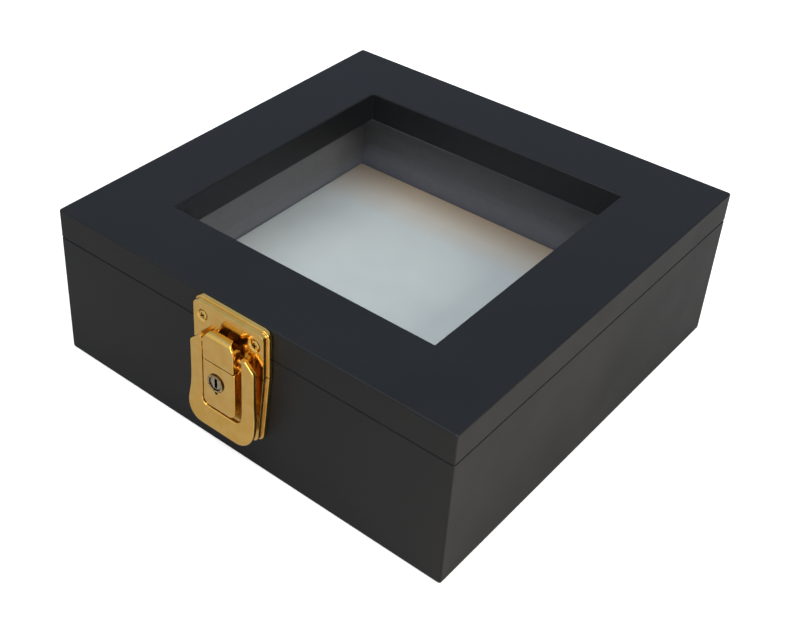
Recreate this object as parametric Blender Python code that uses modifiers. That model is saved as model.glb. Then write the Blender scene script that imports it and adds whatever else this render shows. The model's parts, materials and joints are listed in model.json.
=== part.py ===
"""A square shadow box: a mitred case and a glazed lid on two butt hinges, closed by a draw latch
with a key lock.

Metres, +Z up. The origin is the centre of the underside, the latch is at the front (-Y) and the
hinges are at the back (+Y).
"""

import math

import bmesh
import bpy
from mathutils import Matrix, Vector

# Case and lid
BOX_WIDTH = 0.200
BOX_DEPTH = 0.200
BOX_HEIGHT = 0.0728
LID_THICKNESS = 0.0137
WALL = 0.0115
LID_RAIL = 0.0334
EASED_EDGE = 0.0008
SEAT_GAP = 0.0003
OVERRUN = 0.002

# Bottom panel and display board
PANEL_THICKNESS = 0.0050
PANEL_REBATE = 0.0055
BOARD_THICKNESS = 0.0107
BOARD_CLEARANCE = 0.0006
BOARD_EDGE_RADIUS = 0.0012

# Glass and the beads that hold it
GLASS_THICKNESS = 0.0020
GLASS_OVERLAP = 0.0100
BEAD_SETBACK = 0.0060
BEAD_FOOT = 0.0070
BEAD_LIP_THICKNESS = 0.0030
BEAD_EASED_EDGE = 0.0006

# Butt hinges
HINGE_CENTRE_X = 0.060
HINGE_LENGTH = 0.030
LEAF_THICKNESS = 0.0010
LEAF_WIDTH = 0.0090
KNUCKLE_RADIUS = 0.0017
KNUCKLE_COUNT = 5
HINGE_PIN_RADIUS = 0.0008
PIN_CLEARANCE = 0.0001
HINGE_SCREW_PITCH = 0.0190
HINGE_SCREW_HEAD_RADIUS = 0.0019
HINGE_SCREW_SHANK_RADIUS = 0.0009
HINGE_SCREW_LENGTH = 0.0080

# Latch plates: their ends above or below the lid's seam, and how far each face stands out from
# the box's front
PLATE_HALF_WIDTH = 0.0188
PLATE_FLANGE_FACE = 0.0024
PLATE_FLANGE_WIDTH = 0.0020
PLATE_FACE = 0.0042
PLATE_SHEET = 0.0010
PLATE_CORNER = 0.0035
PLATE_SLOPE = 0.0012
PLATE_BEVEL = 0.0004
CATCH_PLATE_RISE = 0.0134
CATCH_PLATE_DROP = 0.0076
PLATE_SEAM_GAP = 0.0004
BASE_PLATE_LENGTH = 0.0343
BASE_PLATE_BOTTOM_HALF_WIDTH = 0.0158
BASE_PLATE_CORNER = 0.0040
LATCH_SCREW_X = 0.0133
CATCH_SCREW_RISE = 0.0064
BASE_SCREW_X = 0.0095
BASE_SCREW_RISE = 0.0066
LATCH_SCREW_HEAD_RADIUS = 0.0023
LATCH_SCREW_SHANK_RADIUS = 0.0011
LATCH_SCREW_HEAD_DEPTH = 0.0012
LATCH_SCREW_LENGTH = 0.0122
SCREW_CLEARANCE = 0.0002

# Staple on the catch plate
STAPLE_HALF_WIDTH = 0.0045
STAPLE_HEIGHT = 0.0032
STAPLE_RISE = 0.0079
STAPLE_REACH = 0.0016
STAPLE_ROUND = 0.0010
STAPLE_SLOT_HALF_LENGTH = 0.0028
STAPLE_SLOT_DEPTH = 0.0024
STAPLE_BAR = 0.0008

# Lever frame and its pivots
LEVER_THICKNESS = 0.0020
LEVER_BACK = 0.0062
LEVER_BOTTOM_RISE = 0.0013
LEVER_TOP_RISE = 0.0019
LEVER_HALF_WIDTH = 0.0164
LEVER_WAIST_RISE = 0.0205
LEVER_HIP_HALF_WIDTH = 0.0172
LEVER_HIP_RISE = 0.0085
LEVER_HIP_RADIUS = 0.0120
LEVER_SHOULDER_DROP = 0.0042
LEVER_SHOULDER_RUN = 0.0018
LEVER_CORNER = 0.0080
LEVER_SHOULDER_RADIUS = 0.0012
LEVER_WINDOW_HALF_WIDTH = 0.0102
LEVER_FOOT = 0.0087
LEVER_WINDOW_CORNER = 0.0030
LEVER_LIP_REACH = 0.0024
LEVER_LIP_HEIGHT = 0.0135
LEVER_LIP_BEND = 0.0200
LEVER_BEVEL = 0.0005
LEVER_LUG_THICKNESS = 0.0016
LEVER_LUG_RADIUS = 0.0021
PIVOT_RISE = 0.0060
PIVOT_REACH = 0.0072
PIVOT_PIN_RADIUS = 0.0008
HOOK_PIN_DROP = 0.0040
HOOK_PIN_SETBACK = 0.0003

# Ears of the base plate, one beside each lug of the lever
EAR_THICKNESS = 0.0016
EAR_SIDE_GAP = 0.0003
EAR_HEAD_RADIUS = 0.0018
EAR_NECK_CLEARANCE = 0.0006
EAR_PIN_CLEARANCE = 0.0003
EAR_FOOT_HEIGHT = 0.0070
EAR_NECK_TOP_DROP = 0.0016
EAR_ARC_START = math.radians(-100)
EAR_ARC = math.radians(245)

# Lock housing, cylinder, plug and cam
HOUSING_HALF_WIDTH = 0.0082
HOUSING_REACH = 0.0098
HOUSING_BOTTOM_GAP = 0.0018
HOUSING_TOP_DROP = 0.0003
HOUSING_CORNER = 0.0030
HOUSING_BEVEL = 0.0007
LOCK_DROP = 0.0087
LOCK_OFFSET = -0.0013
CYLINDER_RADIUS = 0.0040
CYLINDER_PROUD = 0.0003
CYLINDER_BEVEL = 0.0003
PLUG_RADIUS = 0.0028
PLUG_RECESS = 0.0004
KEYWAY_WIDTH = 0.0010
KEYWAY_HEIGHT = 0.0042
KEYWAY_DEPTH = 0.0024
LOCK_CLEARANCE = 0.0002
CAM_THICKNESS = 0.0010
CAM_LENGTH = 0.0058
CAM_HALF_WIDTH = 0.0022
POCKET_MARGIN = 0.0012
POCKET_DEPTH = 0.0021
DRAIN_HOLE_DROP = 0.0050
DRAIN_HOLE_RADIUS = 0.0006
DRAIN_HOLE_DEPTH = 0.0016

# Draw hook
HOOK_REACH = 0.0100
HOOK_SHEET = 0.0016
HOOK_SPLIT_GAP = 0.0004
HOOK_TOP_DROP = 0.0025
HOOK_BEND_RADIUS = 0.0022
HOOK_STAPLE_GAP = 0.0004
HOOK_SIDE_GAP = 0.0004
HOOK_SHOULDER_DROP = 0.0025
HOOK_TOP_HALF_WIDTH = 0.0066
HOOK_TIP_HALF_WIDTH = 0.0048
HOOK_SHOULDER_RADIUS = 0.0012
HOOK_LUG_THICKNESS = 0.0014
HOOK_LUG_RADIUS = 0.0016
HOOK_LUG_INSET = 0.0003

# Resolution of round shapes
PIN_SIDES = 24
ROUND_SIDES = 32
CORNER_STEPS = 6
LIP_STEPS = 3
ROLL_STEPS = 28
EAR_STEPS = 12
MERGE_DISTANCE = 1e-6
SHARP_FROM = math.radians(35)
EASED_FROM = math.radians(40)

# Sizes that follow from the ones above
HALF_WIDTH = BOX_WIDTH / 2
HALF_DEPTH = BOX_DEPTH / 2
LID_BOTTOM = BOX_HEIGHT - LID_THICKNESS
CASE_TOP = LID_BOTTOM - SEAT_GAP
INNER_HALF_WIDTH = HALF_WIDTH - WALL
INNER_HALF_DEPTH = HALF_DEPTH - WALL
WINDOW_HALF_WIDTH = HALF_WIDTH - LID_RAIL
WINDOW_HALF_DEPTH = HALF_DEPTH - LID_RAIL
HINGE_AXIS_Y = HALF_DEPTH + KNUCKLE_RADIUS + SEAT_GAP
HINGE_AXIS_Z = (CASE_TOP + LID_BOTTOM) / 2
CATCH_PLATE_TOP = LID_BOTTOM + CATCH_PLATE_RISE
CATCH_SCREW_HEIGHT = LID_BOTTOM + CATCH_SCREW_RISE
STAPLE_TOP = LID_BOTTOM + STAPLE_RISE
STAPLE_BOTTOM = STAPLE_TOP - STAPLE_HEIGHT
PLATE_SEAM = LID_BOTTOM - CATCH_PLATE_DROP
BASE_PLATE_BOTTOM = PLATE_SEAM - BASE_PLATE_LENGTH
BASE_SCREW_HEIGHT = BASE_PLATE_BOTTOM + BASE_SCREW_RISE
PIVOT_HEIGHT = PLATE_SEAM + PIVOT_RISE
LEVER_BOTTOM = BASE_PLATE_BOTTOM + LEVER_BOTTOM_RISE
LEVER_TOP = PIVOT_HEIGHT + LEVER_TOP_RISE
LEVER_SHOULDER_HEIGHT = LEVER_TOP - LEVER_SHOULDER_DROP
LEVER_WAIST_HEIGHT = LEVER_BOTTOM + LEVER_WAIST_RISE
LEVER_HIP_HEIGHT = LEVER_BOTTOM + LEVER_HIP_RISE
LEVER_WINDOW_BOTTOM = LEVER_BOTTOM + LEVER_FOOT
HOUSING_BOTTOM = LEVER_WINDOW_BOTTOM + HOUSING_BOTTOM_GAP
HOUSING_TOP = PLATE_SEAM - HOUSING_TOP_DROP
LOCK_HEIGHT = HOUSING_TOP - LOCK_DROP
HOOK_TOP = STAPLE_TOP - HOOK_TOP_DROP
HOOK_SHOULDER_HEIGHT = HOOK_TOP - HOOK_SHOULDER_DROP
EAR_INNER_X = LEVER_WINDOW_HALF_WIDTH - EAR_SIDE_GAP - EAR_THICKNESS
HOOK_PIN_HEIGHT = PIVOT_HEIGHT - HOOK_PIN_DROP
HOOK_PIN_REACH = PIVOT_REACH - HOOK_PIN_SETBACK
STAPLE_FACE = PLATE_FACE + STAPLE_REACH
HOUSING_BACK = PLATE_FACE + SEAT_GAP
POCKET_FLOOR = HOUSING_BACK + POCKET_DEPTH
HOOK_HALF_WIDTH = EAR_INNER_X - HOOK_SIDE_GAP

# Colour, roughness and metallic value of each finish
BLACK_LACQUER = ((0.021, 0.023, 0.026), 0.42, 0.0)
WHITE_BOARD = ((0.62, 0.66, 0.67), 0.85, 0.0)
RAW_BOARD = ((0.045, 0.040, 0.036), 0.80, 0.0)
CLEAR_GLASS = ((0.86, 0.90, 0.89), 0.05, 0.0)
BRASS_PLATE = ((0.78, 0.55, 0.24), 0.22, 1.0)
BRIGHT_STEEL = ((0.62, 0.60, 0.57), 0.30, 1.0)

# Local X, Y and Z of an outline drawn from the front, or from the side with +X pointing out of
# the box's front
FROM_FRONT = Matrix(((1, 0, 0), (0, 0, -1), (0, 1, 0)))
FROM_SIDE = Matrix(((0, 0, -1), (-1, 0, 0), (0, 1, 0)))
FROM_ABOVE = Matrix.Identity(3)
UPSIDE_DOWN = Matrix(((1, 0, 0), (0, -1, 0), (0, 0, -1)))
ALONG_X = Matrix(((0, 0, 1), (0, 1, 0), (-1, 0, 0)))


def clear_scene():
    """Remove what the scene holds."""
    for item in list(bpy.data.objects):
        bpy.data.objects.remove(item, do_unlink=True)


def new_collection(name):
    """Add a collection to the scene."""
    collection = bpy.data.collections.new(name)
    bpy.context.scene.collection.children.link(collection)
    return collection


clear_scene()
PARTS = new_collection("shadow_box")
CUTTERS = new_collection("cutters")
SIDES = (("left", -1), ("right", 1))


def material(name, finish):
    """A Principled material from colour, roughness and metallic value, made once."""
    found = bpy.data.materials.get(name)
    if found:
        return found
    colour, roughness, metallic = finish
    made = bpy.data.materials.new(name)
    made.use_nodes = True
    shader = made.node_tree.nodes["Principled BSDF"]
    shader.inputs["Base Color"].default_value = (*colour, 1)
    shader.inputs["Roughness"].default_value = roughness
    shader.inputs["Metallic"].default_value = metallic
    made.diffuse_color = (*colour, 1)
    return made


def front_point(x, reach, height):
    """A point given by how far it stands out from the box's front."""
    return Vector((x, -HALF_DEPTH - reach, height))


def put(mesh, name, centre, facing=FROM_ABOVE, collection=PARTS):
    """Place a mesh as an object: facing turns its local axes to the box's."""
    item = bpy.data.objects.new(name, mesh)
    item.matrix_world = Matrix.Translation(centre) @ facing.to_4x4()
    collection.objects.link(item)
    if collection == CUTTERS:
        item.hide_render = True
        item.display_type = "WIRE"
    return item


def finish_piece(piece, name, finish):
    """Give a piece its material and smooth shading with sharp edges."""
    piece.data.materials.clear()
    piece.data.materials.append(material(name, finish))
    piece.data.shade_smooth()
    piece.data.set_sharp_from_angle(angle=SHARP_FROM)
    return piece


def rounded(corners, radii, steps=CORNER_STEPS):
    """An outline with each corner replaced by an arc of its radius (zero keeps it sharp)."""
    points = []
    for index, corner in enumerate(corners):
        here = Vector(corner)
        before = Vector(corners[index - 1]) - here
        after = Vector(corners[(index + 1) % len(corners)]) - here
        radius = radii[index] if isinstance(radii, (list, tuple)) else radii
        if not radius:
            points.append(here)
            continue
        half_angle = before.angle(after) / 2
        tangent = radius / math.tan(half_angle)
        centre = here + (before.normalized() + after.normalized()).normalized() * (
            radius / math.sin(half_angle))
        start = here + before.normalized() * tangent - centre
        sweep = math.pi - 2 * half_angle
        side = 1 if before.cross(after) < 0 else -1
        for step in range(steps + 1):
            turned = Matrix.Rotation(side * sweep * step / steps, 2) @ start
            points.append(centre + turned)
    return points


def circle(centre, radius, sides=PIN_SIDES):
    """Points round a circle."""
    middle = Vector(centre)
    return [middle + radius * Vector((math.cos(turn), math.sin(turn)))
            for turn in (2 * math.pi * side / sides for side in range(sides))]


def rectangle(low, high):
    """Corners of a rectangle, anticlockwise."""
    return [(low[0], low[1]), (high[0], low[1]), (high[0], high[1]), (low[0], high[1])]


def link_outline(first, first_radius, second, second_radius, steps=ROUND_SIDES // 2):
    """The outline round two circles and their outer tangents, as of a link."""
    start, end = Vector(first), Vector(second)
    run = end - start
    heading = math.atan2(run.y, run.x)
    lean = math.acos((first_radius - second_radius) / run.length)
    points = []
    for centre, radius, begin, finish in (
            (start, first_radius, heading + lean, heading + 2 * math.pi - lean),
            (end, second_radius, heading - lean, heading + lean)):
        for step in range(steps + 1):
            turn = begin + (finish - begin) * step / steps
            points.append(centre + radius * Vector((math.cos(turn), math.sin(turn))))
    return points


def prism_mesh(name, loops, thickness):
    """A flat outline, with any holes, as a closed mesh of the given thickness about its plane."""
    curve = bpy.data.curves.new(name, "CURVE")
    curve.dimensions = "2D"
    curve.fill_mode = "BOTH"
    curve.extrude = thickness / 2
    for loop in loops:
        spline = curve.splines.new("POLY")
        spline.points.add(len(loop) - 1)
        for point, place in zip(spline.points, loop):
            point.co = (place[0], place[1], 0, 1)
        spline.use_cyclic_u = True
    drawn = bpy.data.objects.new(name, curve)
    bpy.context.scene.collection.objects.link(drawn)
    graph = bpy.context.evaluated_depsgraph_get()
    mesh = bpy.data.meshes.new_from_object(drawn.evaluated_get(graph))
    bpy.data.objects.remove(drawn, do_unlink=True)
    bpy.data.curves.remove(curve)
    shape = bmesh.new()
    shape.from_mesh(mesh)
    bmesh.ops.remove_doubles(shape, verts=shape.verts, dist=MERGE_DISTANCE)
    bmesh.ops.recalc_face_normals(shape, faces=shape.faces)
    shape.to_mesh(mesh)
    shape.free()
    return mesh


def prism(name, loops, thickness, centre, facing, collection=PARTS):
    """A flat outline extruded about its plane and placed."""
    return put(prism_mesh(name, loops, thickness), name, centre, facing, collection)


def box(name, low, high, collection=PARTS):
    """A box between two opposite corners."""
    shape = bmesh.new()
    bmesh.ops.create_cube(shape, size=1)
    low, high = Vector(low), Vector(high)
    sides = Vector(abs(length) for length in high - low)
    bmesh.ops.scale(shape, vec=sides, verts=shape.verts)
    mesh = bpy.data.meshes.new(name)
    shape.to_mesh(mesh)
    shape.free()
    return put(mesh, name, (low + high) / 2, collection=collection)


def cylinder(name, radius, length, centre, facing, collection=PARTS, sides=PIN_SIDES):
    """A cylinder along the facing's local Z."""
    shape = bmesh.new()
    bmesh.ops.create_cone(shape, cap_ends=True, segments=sides, radius1=radius, radius2=radius,
                          depth=length)
    mesh = bpy.data.meshes.new(name)
    shape.to_mesh(mesh)
    shape.free()
    return put(mesh, name, centre, facing, collection)


def boolean(piece, other, operation):
    """A live Boolean with another object, a cutter."""
    change = piece.modifiers.new(f"{operation.lower()} {other.name}", "BOOLEAN")
    change.operation = operation
    change.object = other
    change.solver = "EXACT"
    return piece


def ease(piece, width, segments=2):
    """Round the sharp edges of a piece."""
    bevel = piece.modifiers.new("eased edges", "BEVEL")
    bevel.width = width
    bevel.segments = segments
    bevel.limit_method = "ANGLE"
    bevel.angle_limit = EASED_FROM
    bevel.use_clamp_overlap = True
    return piece


def turned(name, profile, centre, facing, collection=PARTS, sides=PIN_SIDES):
    """A profile of (radius, height) pairs, top first, turned about the facing's local Z."""
    mesh = bpy.data.meshes.new(name)
    shape = bmesh.new()
    ring = [shape.verts.new((radius, 0, height)) for radius, height in profile]
    edges = [shape.edges.new(pair) for pair in zip(ring, ring[1:])]
    bmesh.ops.spin(shape, geom=ring + edges, cent=(0, 0, 0), axis=(0, 0, 1), angle=2 * math.pi,
                   steps=sides, use_merge=True)
    bmesh.ops.remove_doubles(shape, verts=shape.verts, dist=MERGE_DISTANCE)
    bmesh.ops.recalc_face_normals(shape, faces=shape.faces)
    shape.to_mesh(mesh)
    shape.free()
    return put(mesh, name, centre, facing, collection)


def axis_empty(name, place, parent=None):
    """An empty on a joint's axis, which carries the pieces of its body."""
    empty = bpy.data.objects.new(name, None)
    empty.empty_display_size = KNUCKLE_RADIUS
    PARTS.objects.link(empty)
    empty.location = place
    bpy.context.view_layer.update()
    if parent:
        hang(empty, parent)
    return empty


def hang(item, parent):
    """Parent an item and leave it where it is."""
    bpy.context.view_layer.update()
    here = item.matrix_world.copy()
    item.parent = parent
    item.matrix_parent_inverse = parent.matrix_world.inverted()
    item.matrix_world = here


LID_AXIS = axis_empty("lid_axis", (0, HINGE_AXIS_Y, HINGE_AXIS_Z))
LEVER_AXIS = axis_empty("lever_axis", front_point(0, PIVOT_REACH, PIVOT_HEIGHT))
HOOK_AXIS = axis_empty("hook_axis", front_point(0, HOOK_PIN_REACH, HOOK_PIN_HEIGHT), LEVER_AXIS)
PLUG_AXIS = axis_empty("plug_axis", front_point(LOCK_OFFSET, HOUSING_REACH, LOCK_HEIGHT))


def mitre_wedges():
    """For each side of the box, the three-cornered block that its mitred piece is cut with."""
    setback = SEAT_GAP / math.sqrt(2)
    slope = BOX_DEPTH / BOX_WIDTH
    reach = HALF_WIDTH + OVERRUN
    depth = HALF_DEPTH + OVERRUN * slope
    corners = {
        "front": [(0, -setback), (-reach, -depth - setback), (reach, -depth - setback)],
        "right": [(setback, 0), (reach + setback, -depth), (reach + setback, depth)],
        "back": [(0, setback), (reach, depth + setback), (-reach, depth + setback)],
        "left": [(-setback, 0), (-reach - setback, depth), (-reach - setback, -depth)],
    }
    middle = Vector((0, 0, BOX_HEIGHT / 2))
    height = BOX_HEIGHT + 2 * OVERRUN
    return {side: prism(f"mitre_{side}", [outline], height, middle, FROM_ABOVE, CUTTERS)
            for side, outline in corners.items()}


def ring_mesh(name, half_width, half_depth, inner_half_width, inner_half_depth, thickness):
    """The square frame that four mitred pieces are cut from."""
    outer = rectangle((-half_width, -half_depth), (half_width, half_depth))
    inner = rectangle((-inner_half_width, -inner_half_depth), (inner_half_width, inner_half_depth))
    return prism_mesh(name, [outer, inner], thickness)


def mitre(pieces, wedges):
    """Cut each piece of a frame back to its own side, once its other cuts are made."""
    for side, piece in pieces.items():
        boolean(piece, wedges[side], "INTERSECT")


def case_walls(wedges):
    """Four walls with a rebate for the bottom panel."""
    blank = ring_mesh("case_blank", HALF_WIDTH, HALF_DEPTH, INNER_HALF_WIDTH, INNER_HALF_DEPTH,
                      CASE_TOP)
    rebate_x = INNER_HALF_WIDTH + PANEL_REBATE
    rebate_y = INNER_HALF_DEPTH + PANEL_REBATE
    rebate = box("panel_rebate", (-rebate_x, -rebate_y, -OVERRUN),
                 (rebate_x, rebate_y, PANEL_THICKNESS + SEAT_GAP), CUTTERS)
    walls = {}
    for side in wedges:
        wall = put(blank, f"{side}_wall", Vector((0, 0, CASE_TOP / 2)))
        ease(wall, EASED_EDGE)
        boolean(wall, rebate, "DIFFERENCE")
        walls[side] = finish_piece(wall, "black_lacquer", BLACK_LACQUER)
    return walls


def lid_rails(wedges):
    """Four rails round the window."""
    blank = ring_mesh("lid_blank", HALF_WIDTH, HALF_DEPTH, WINDOW_HALF_WIDTH, WINDOW_HALF_DEPTH,
                      LID_THICKNESS)
    rails = {}
    for side in wedges:
        rail = put(blank, f"lid_{side}_rail", Vector((0, 0, LID_BOTTOM + LID_THICKNESS / 2)))
        ease(rail, EASED_EDGE)
        rails[side] = finish_piece(rail, "black_lacquer", BLACK_LACQUER)
        hang(rail, LID_AXIS)
    return rails


def glass_beads(wedges):
    """Mitred beads under the lid, each with a step that holds the pane's edge."""
    glass_x = WINDOW_HALF_WIDTH + GLASS_OVERLAP
    glass_y = WINDOW_HALF_DEPTH + GLASS_OVERLAP
    top = LID_BOTTOM - SEAT_GAP
    step_height = GLASS_THICKNESS + SEAT_GAP
    height = step_height + BEAD_LIP_THICKNESS
    blank = ring_mesh("bead_blank", glass_x + SEAT_GAP + BEAD_FOOT, glass_y + SEAT_GAP + BEAD_FOOT,
                      WINDOW_HALF_WIDTH + BEAD_SETBACK, WINDOW_HALF_DEPTH + BEAD_SETBACK, height)
    step = box("glass_step", (-glass_x - SEAT_GAP, -glass_y - SEAT_GAP, top - step_height),
               (glass_x + SEAT_GAP, glass_y + SEAT_GAP, top + OVERRUN), CUTTERS)
    for side, wedge in wedges.items():
        bead = put(blank, f"glass_bead_{side}", Vector((0, 0, top - height / 2)))
        ease(bead, BEAD_EASED_EDGE, 1)
        boolean(bead, step, "DIFFERENCE")
        boolean(bead, wedge, "INTERSECT")
        finish_piece(bead, "black_lacquer", BLACK_LACQUER)
        hang(bead, LID_AXIS)


def glass_pane():
    """The pane, which lies between the rails and the beads."""
    half_x = WINDOW_HALF_WIDTH + GLASS_OVERLAP
    half_y = WINDOW_HALF_DEPTH + GLASS_OVERLAP
    top = LID_BOTTOM - SEAT_GAP
    pane = box("glass_pane", (-half_x, -half_y, top - GLASS_THICKNESS), (half_x, half_y, top))
    finish_piece(pane, "clear_glass", CLEAR_GLASS)
    hang(pane, LID_AXIS)


def bottom_panel():
    """The panel in the walls' rebate, flush with their lower edges."""
    half_x = INNER_HALF_WIDTH + PANEL_REBATE - SEAT_GAP
    half_y = INNER_HALF_DEPTH + PANEL_REBATE - SEAT_GAP
    panel = box("bottom_panel", (-half_x, -half_y, 0), (half_x, half_y, PANEL_THICKNESS))
    finish_piece(panel, "raw_board", RAW_BOARD)


def display_board():
    """The white board that lies on the bottom panel."""
    half_x = INNER_HALF_WIDTH - BOARD_CLEARANCE
    half_y = INNER_HALF_DEPTH - BOARD_CLEARANCE
    low = PANEL_THICKNESS + SEAT_GAP
    board = box("display_board", (-half_x, -half_y, low), (half_x, half_y, low + BOARD_THICKNESS))
    ease(board, BOARD_EDGE_RADIUS, 3)
    finish_piece(board, "white_board", WHITE_BOARD)


def leaf_loops(up):
    """A leaf's section from the side: a strip that rolls round the pin. up is 1 for the lid."""
    near = SEAT_GAP / 2
    far = near + LEAF_THICKNESS
    inner_end = -(HINGE_AXIS_Y - HALF_DEPTH) - LEAF_WIDTH
    begin = math.atan2(near, -math.sqrt(KNUCKLE_RADIUS ** 2 - near ** 2))
    finish = math.atan2(far, -math.sqrt(KNUCKLE_RADIUS ** 2 - far ** 2))
    steps = ROLL_STEPS
    sweep = 2 * math.pi - (begin - finish)
    roll = [(KNUCKLE_RADIUS * math.cos(begin + sweep * step / steps),
             KNUCKLE_RADIUS * math.sin(begin + sweep * step / steps)) for step in range(steps + 1)]
    strip = [(inner_end, far), (inner_end, near)]
    bore = circle((0, 0), HINGE_PIN_RADIUS + PIN_CLEARANCE)
    return [[(-y, up * z) for y, z in strip + roll], [(-point.x, point.y) for point in bore]]


def hinge_screw_profile(spread):
    """A countersunk screw's outer side, top first, widened by spread."""
    head, shank = HINGE_SCREW_HEAD_RADIUS + spread, HINGE_SCREW_SHANK_RADIUS + spread
    return [(0, 0), (head, 0), (shank, -LEAF_THICKNESS), (shank, -HINGE_SCREW_LENGTH - spread),
            (0, -HINGE_SCREW_LENGTH - spread)]


def knuckle_notches(name, centre_x, own):
    """Blocks that clear the other leaf's knuckles out of a leaf."""
    length = HINGE_LENGTH / KNUCKLE_COUNT
    notches = []
    for index in range(KNUCKLE_COUNT):
        if index % 2 == own:
            continue
        low = centre_x - HINGE_LENGTH / 2 + index * length - SEAT_GAP / 2
        high = low + length + SEAT_GAP
        low -= OVERRUN if index == 0 else 0
        high += OVERRUN if index == KNUCKLE_COUNT - 1 else 0
        notches.append(box(f"{name}_notch_{index}",
                           (low, HALF_DEPTH, HINGE_AXIS_Z - KNUCKLE_RADIUS - OVERRUN),
                           (high, HINGE_AXIS_Y + KNUCKLE_RADIUS + OVERRUN,
                            HINGE_AXIS_Z + KNUCKLE_RADIUS + OVERRUN), CUTTERS))
    return notches


def hinge_leaf(level, side, sign, wood):
    """One leaf with its mortise in the wood and its two countersunk screws."""
    on_lid = level == "lid"
    up, face, facing = (1, LID_BOTTOM, UPSIDE_DOWN) if on_lid else (-1, CASE_TOP, FROM_ABOVE)
    centre_x = sign * HINGE_CENTRE_X
    name = f"hinge_{level}_leaf_{side}"
    leaf = prism(name, leaf_loops(up), HINGE_LENGTH,
                 Vector((centre_x, HINGE_AXIS_Y, HINGE_AXIS_Z)), FROM_SIDE)
    for notch in knuckle_notches(name, centre_x, on_lid):
        boolean(leaf, notch, "DIFFERENCE")
    reach = HINGE_LENGTH / 2 + SEAT_GAP
    mortise = box(f"{name}_mortise",
                  (centre_x - reach, HALF_DEPTH - LEAF_WIDTH - SEAT_GAP, face - up * OVERRUN),
                  (centre_x + reach, HALF_DEPTH + OVERRUN, face + up * (LEAF_THICKNESS + SEAT_GAP)),
                  CUTTERS)
    boolean(wood, mortise, "DIFFERENCE")
    pieces = [finish_piece(leaf, "brass_plate", BRASS_PLATE)]
    for place, step in (("inner", -sign), ("outer", sign)):
        spot = Vector((centre_x + step * HINGE_SCREW_PITCH / 2, HALF_DEPTH - LEAF_WIDTH / 2, face))
        screw_name = f"hinge_{level}_screw_{side}_{place}"
        screw = turned(screw_name, hinge_screw_profile(0), spot, facing)
        hole = turned(f"{screw_name}_hole", hinge_screw_profile(SCREW_CLEARANCE), spot, facing,
                      CUTTERS)
        boolean(leaf, hole, "DIFFERENCE")
        boolean(wood, hole, "DIFFERENCE")
        pieces.append(finish_piece(screw, "brass_plate", BRASS_PLATE))
    if on_lid:
        for piece in pieces:
            hang(piece, LID_AXIS)


def hinges(back_wall, back_rail):
    """Two butt hinges let into the seam at the back."""
    for side, sign in SIDES:
        hinge_leaf("base", side, sign, back_wall)
        hinge_leaf("lid", side, sign, back_rail)
        pin = cylinder(f"hinge_pin_{side}", HINGE_PIN_RADIUS, HINGE_LENGTH,
                       Vector((sign * HINGE_CENTRE_X, HINGE_AXIS_Y, HINGE_AXIS_Z)), ALONG_X)
        finish_piece(pin, "brass_plate", BRASS_PLATE)


def plate_outline(low, high, low_half, high_half, radius, inset):
    """A plate's outline from the front, drawn in by inset. The radius rounds the end away from
    the seam between the two plates, and the other end runs past the seam."""
    corner, past = radius - inset, OVERRUN + inset
    if high > PLATE_SEAM:
        low, high, radii = low - past, high - inset, [0, 0, corner, corner]
    else:
        low, high, radii = low + inset, high + past, [corner, corner, 0, 0]
    low_half, high_half = low_half - inset, high_half - inset
    return rounded([(-low_half, low), (low_half, low), (high_half, high), (-high_half, high)],
                   radii)


def pressed_plate(name, low, high, low_half, high_half, radius):
    """A pressed plate: a flange on the wood, a raised middle with sloped sides and a hollow
    behind, cut off square at the seam between the two plates."""
    shape = low, high, low_half, high_half, radius
    layers = ((name, 0, SEAT_GAP, PLATE_FLANGE_FACE, PLATE_BEVEL, PARTS),
              (f"{name}_middle", PLATE_FLANGE_WIDTH, PLATE_SHEET, PLATE_FACE, PLATE_SLOPE, CUTTERS))
    pieces = []
    for layer, inset, back, face, width, collection in layers:
        piece = prism(layer, [plate_outline(*shape, inset)], face - back,
                      front_point(0, (back + face) / 2, 0), FROM_FRONT, collection)
        pieces.append(ease(piece, width, 3))
    plate, middle = pieces
    boolean(plate, middle, "UNION")
    depth = PLATE_FACE - PLATE_SHEET - SEAT_GAP + OVERRUN
    inset = PLATE_FLANGE_WIDTH + PLATE_SHEET
    hollow = prism(f"{name}_hollow", [plate_outline(*shape, inset)], depth,
                   front_point(0, PLATE_FACE - PLATE_SHEET - depth / 2, 0), FROM_FRONT, CUTTERS)
    boolean(plate, hollow, "DIFFERENCE")
    over_seam = high > PLATE_SEAM
    end = low if over_seam else high
    beyond = end - 3 * OVERRUN if over_seam else end + 3 * OVERRUN
    reach = PLATE_HALF_WIDTH + OVERRUN
    trim = box(f"{name}_trim", front_point(-reach, -OVERRUN, end),
               front_point(reach, PLATE_FACE + OVERRUN, beyond), CUTTERS)
    return boolean(plate, trim, "DIFFERENCE")


def latch_screw_profile(spread):
    """A countersunk screw's outer side, top first, widened by spread."""
    head, shank = LATCH_SCREW_HEAD_RADIUS + spread, LATCH_SCREW_SHANK_RADIUS + spread
    tip = -LATCH_SCREW_LENGTH - spread
    return [(0, 0), (head, 0), (shank, -LATCH_SCREW_HEAD_DEPTH), (shank, tip), (0, tip)]


def latch_screws(name, x, height, plate, wood):
    """A pair of screws through a plate into the wood, and their holes."""
    screws = []
    for side, sign in SIDES:
        place = front_point(sign * x, PLATE_FACE, height)
        screw = turned(f"{name}_{side}", latch_screw_profile(0), place, FROM_FRONT)
        hole = turned(f"{name}_{side}_hole", latch_screw_profile(SCREW_CLEARANCE), place,
                      FROM_FRONT, CUTTERS)
        boolean(plate, hole, "DIFFERENCE")
        boolean(wood, hole, "DIFFERENCE")
        screws.append(finish_piece(screw, "brass_plate", BRASS_PLATE))
    return screws


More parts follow.
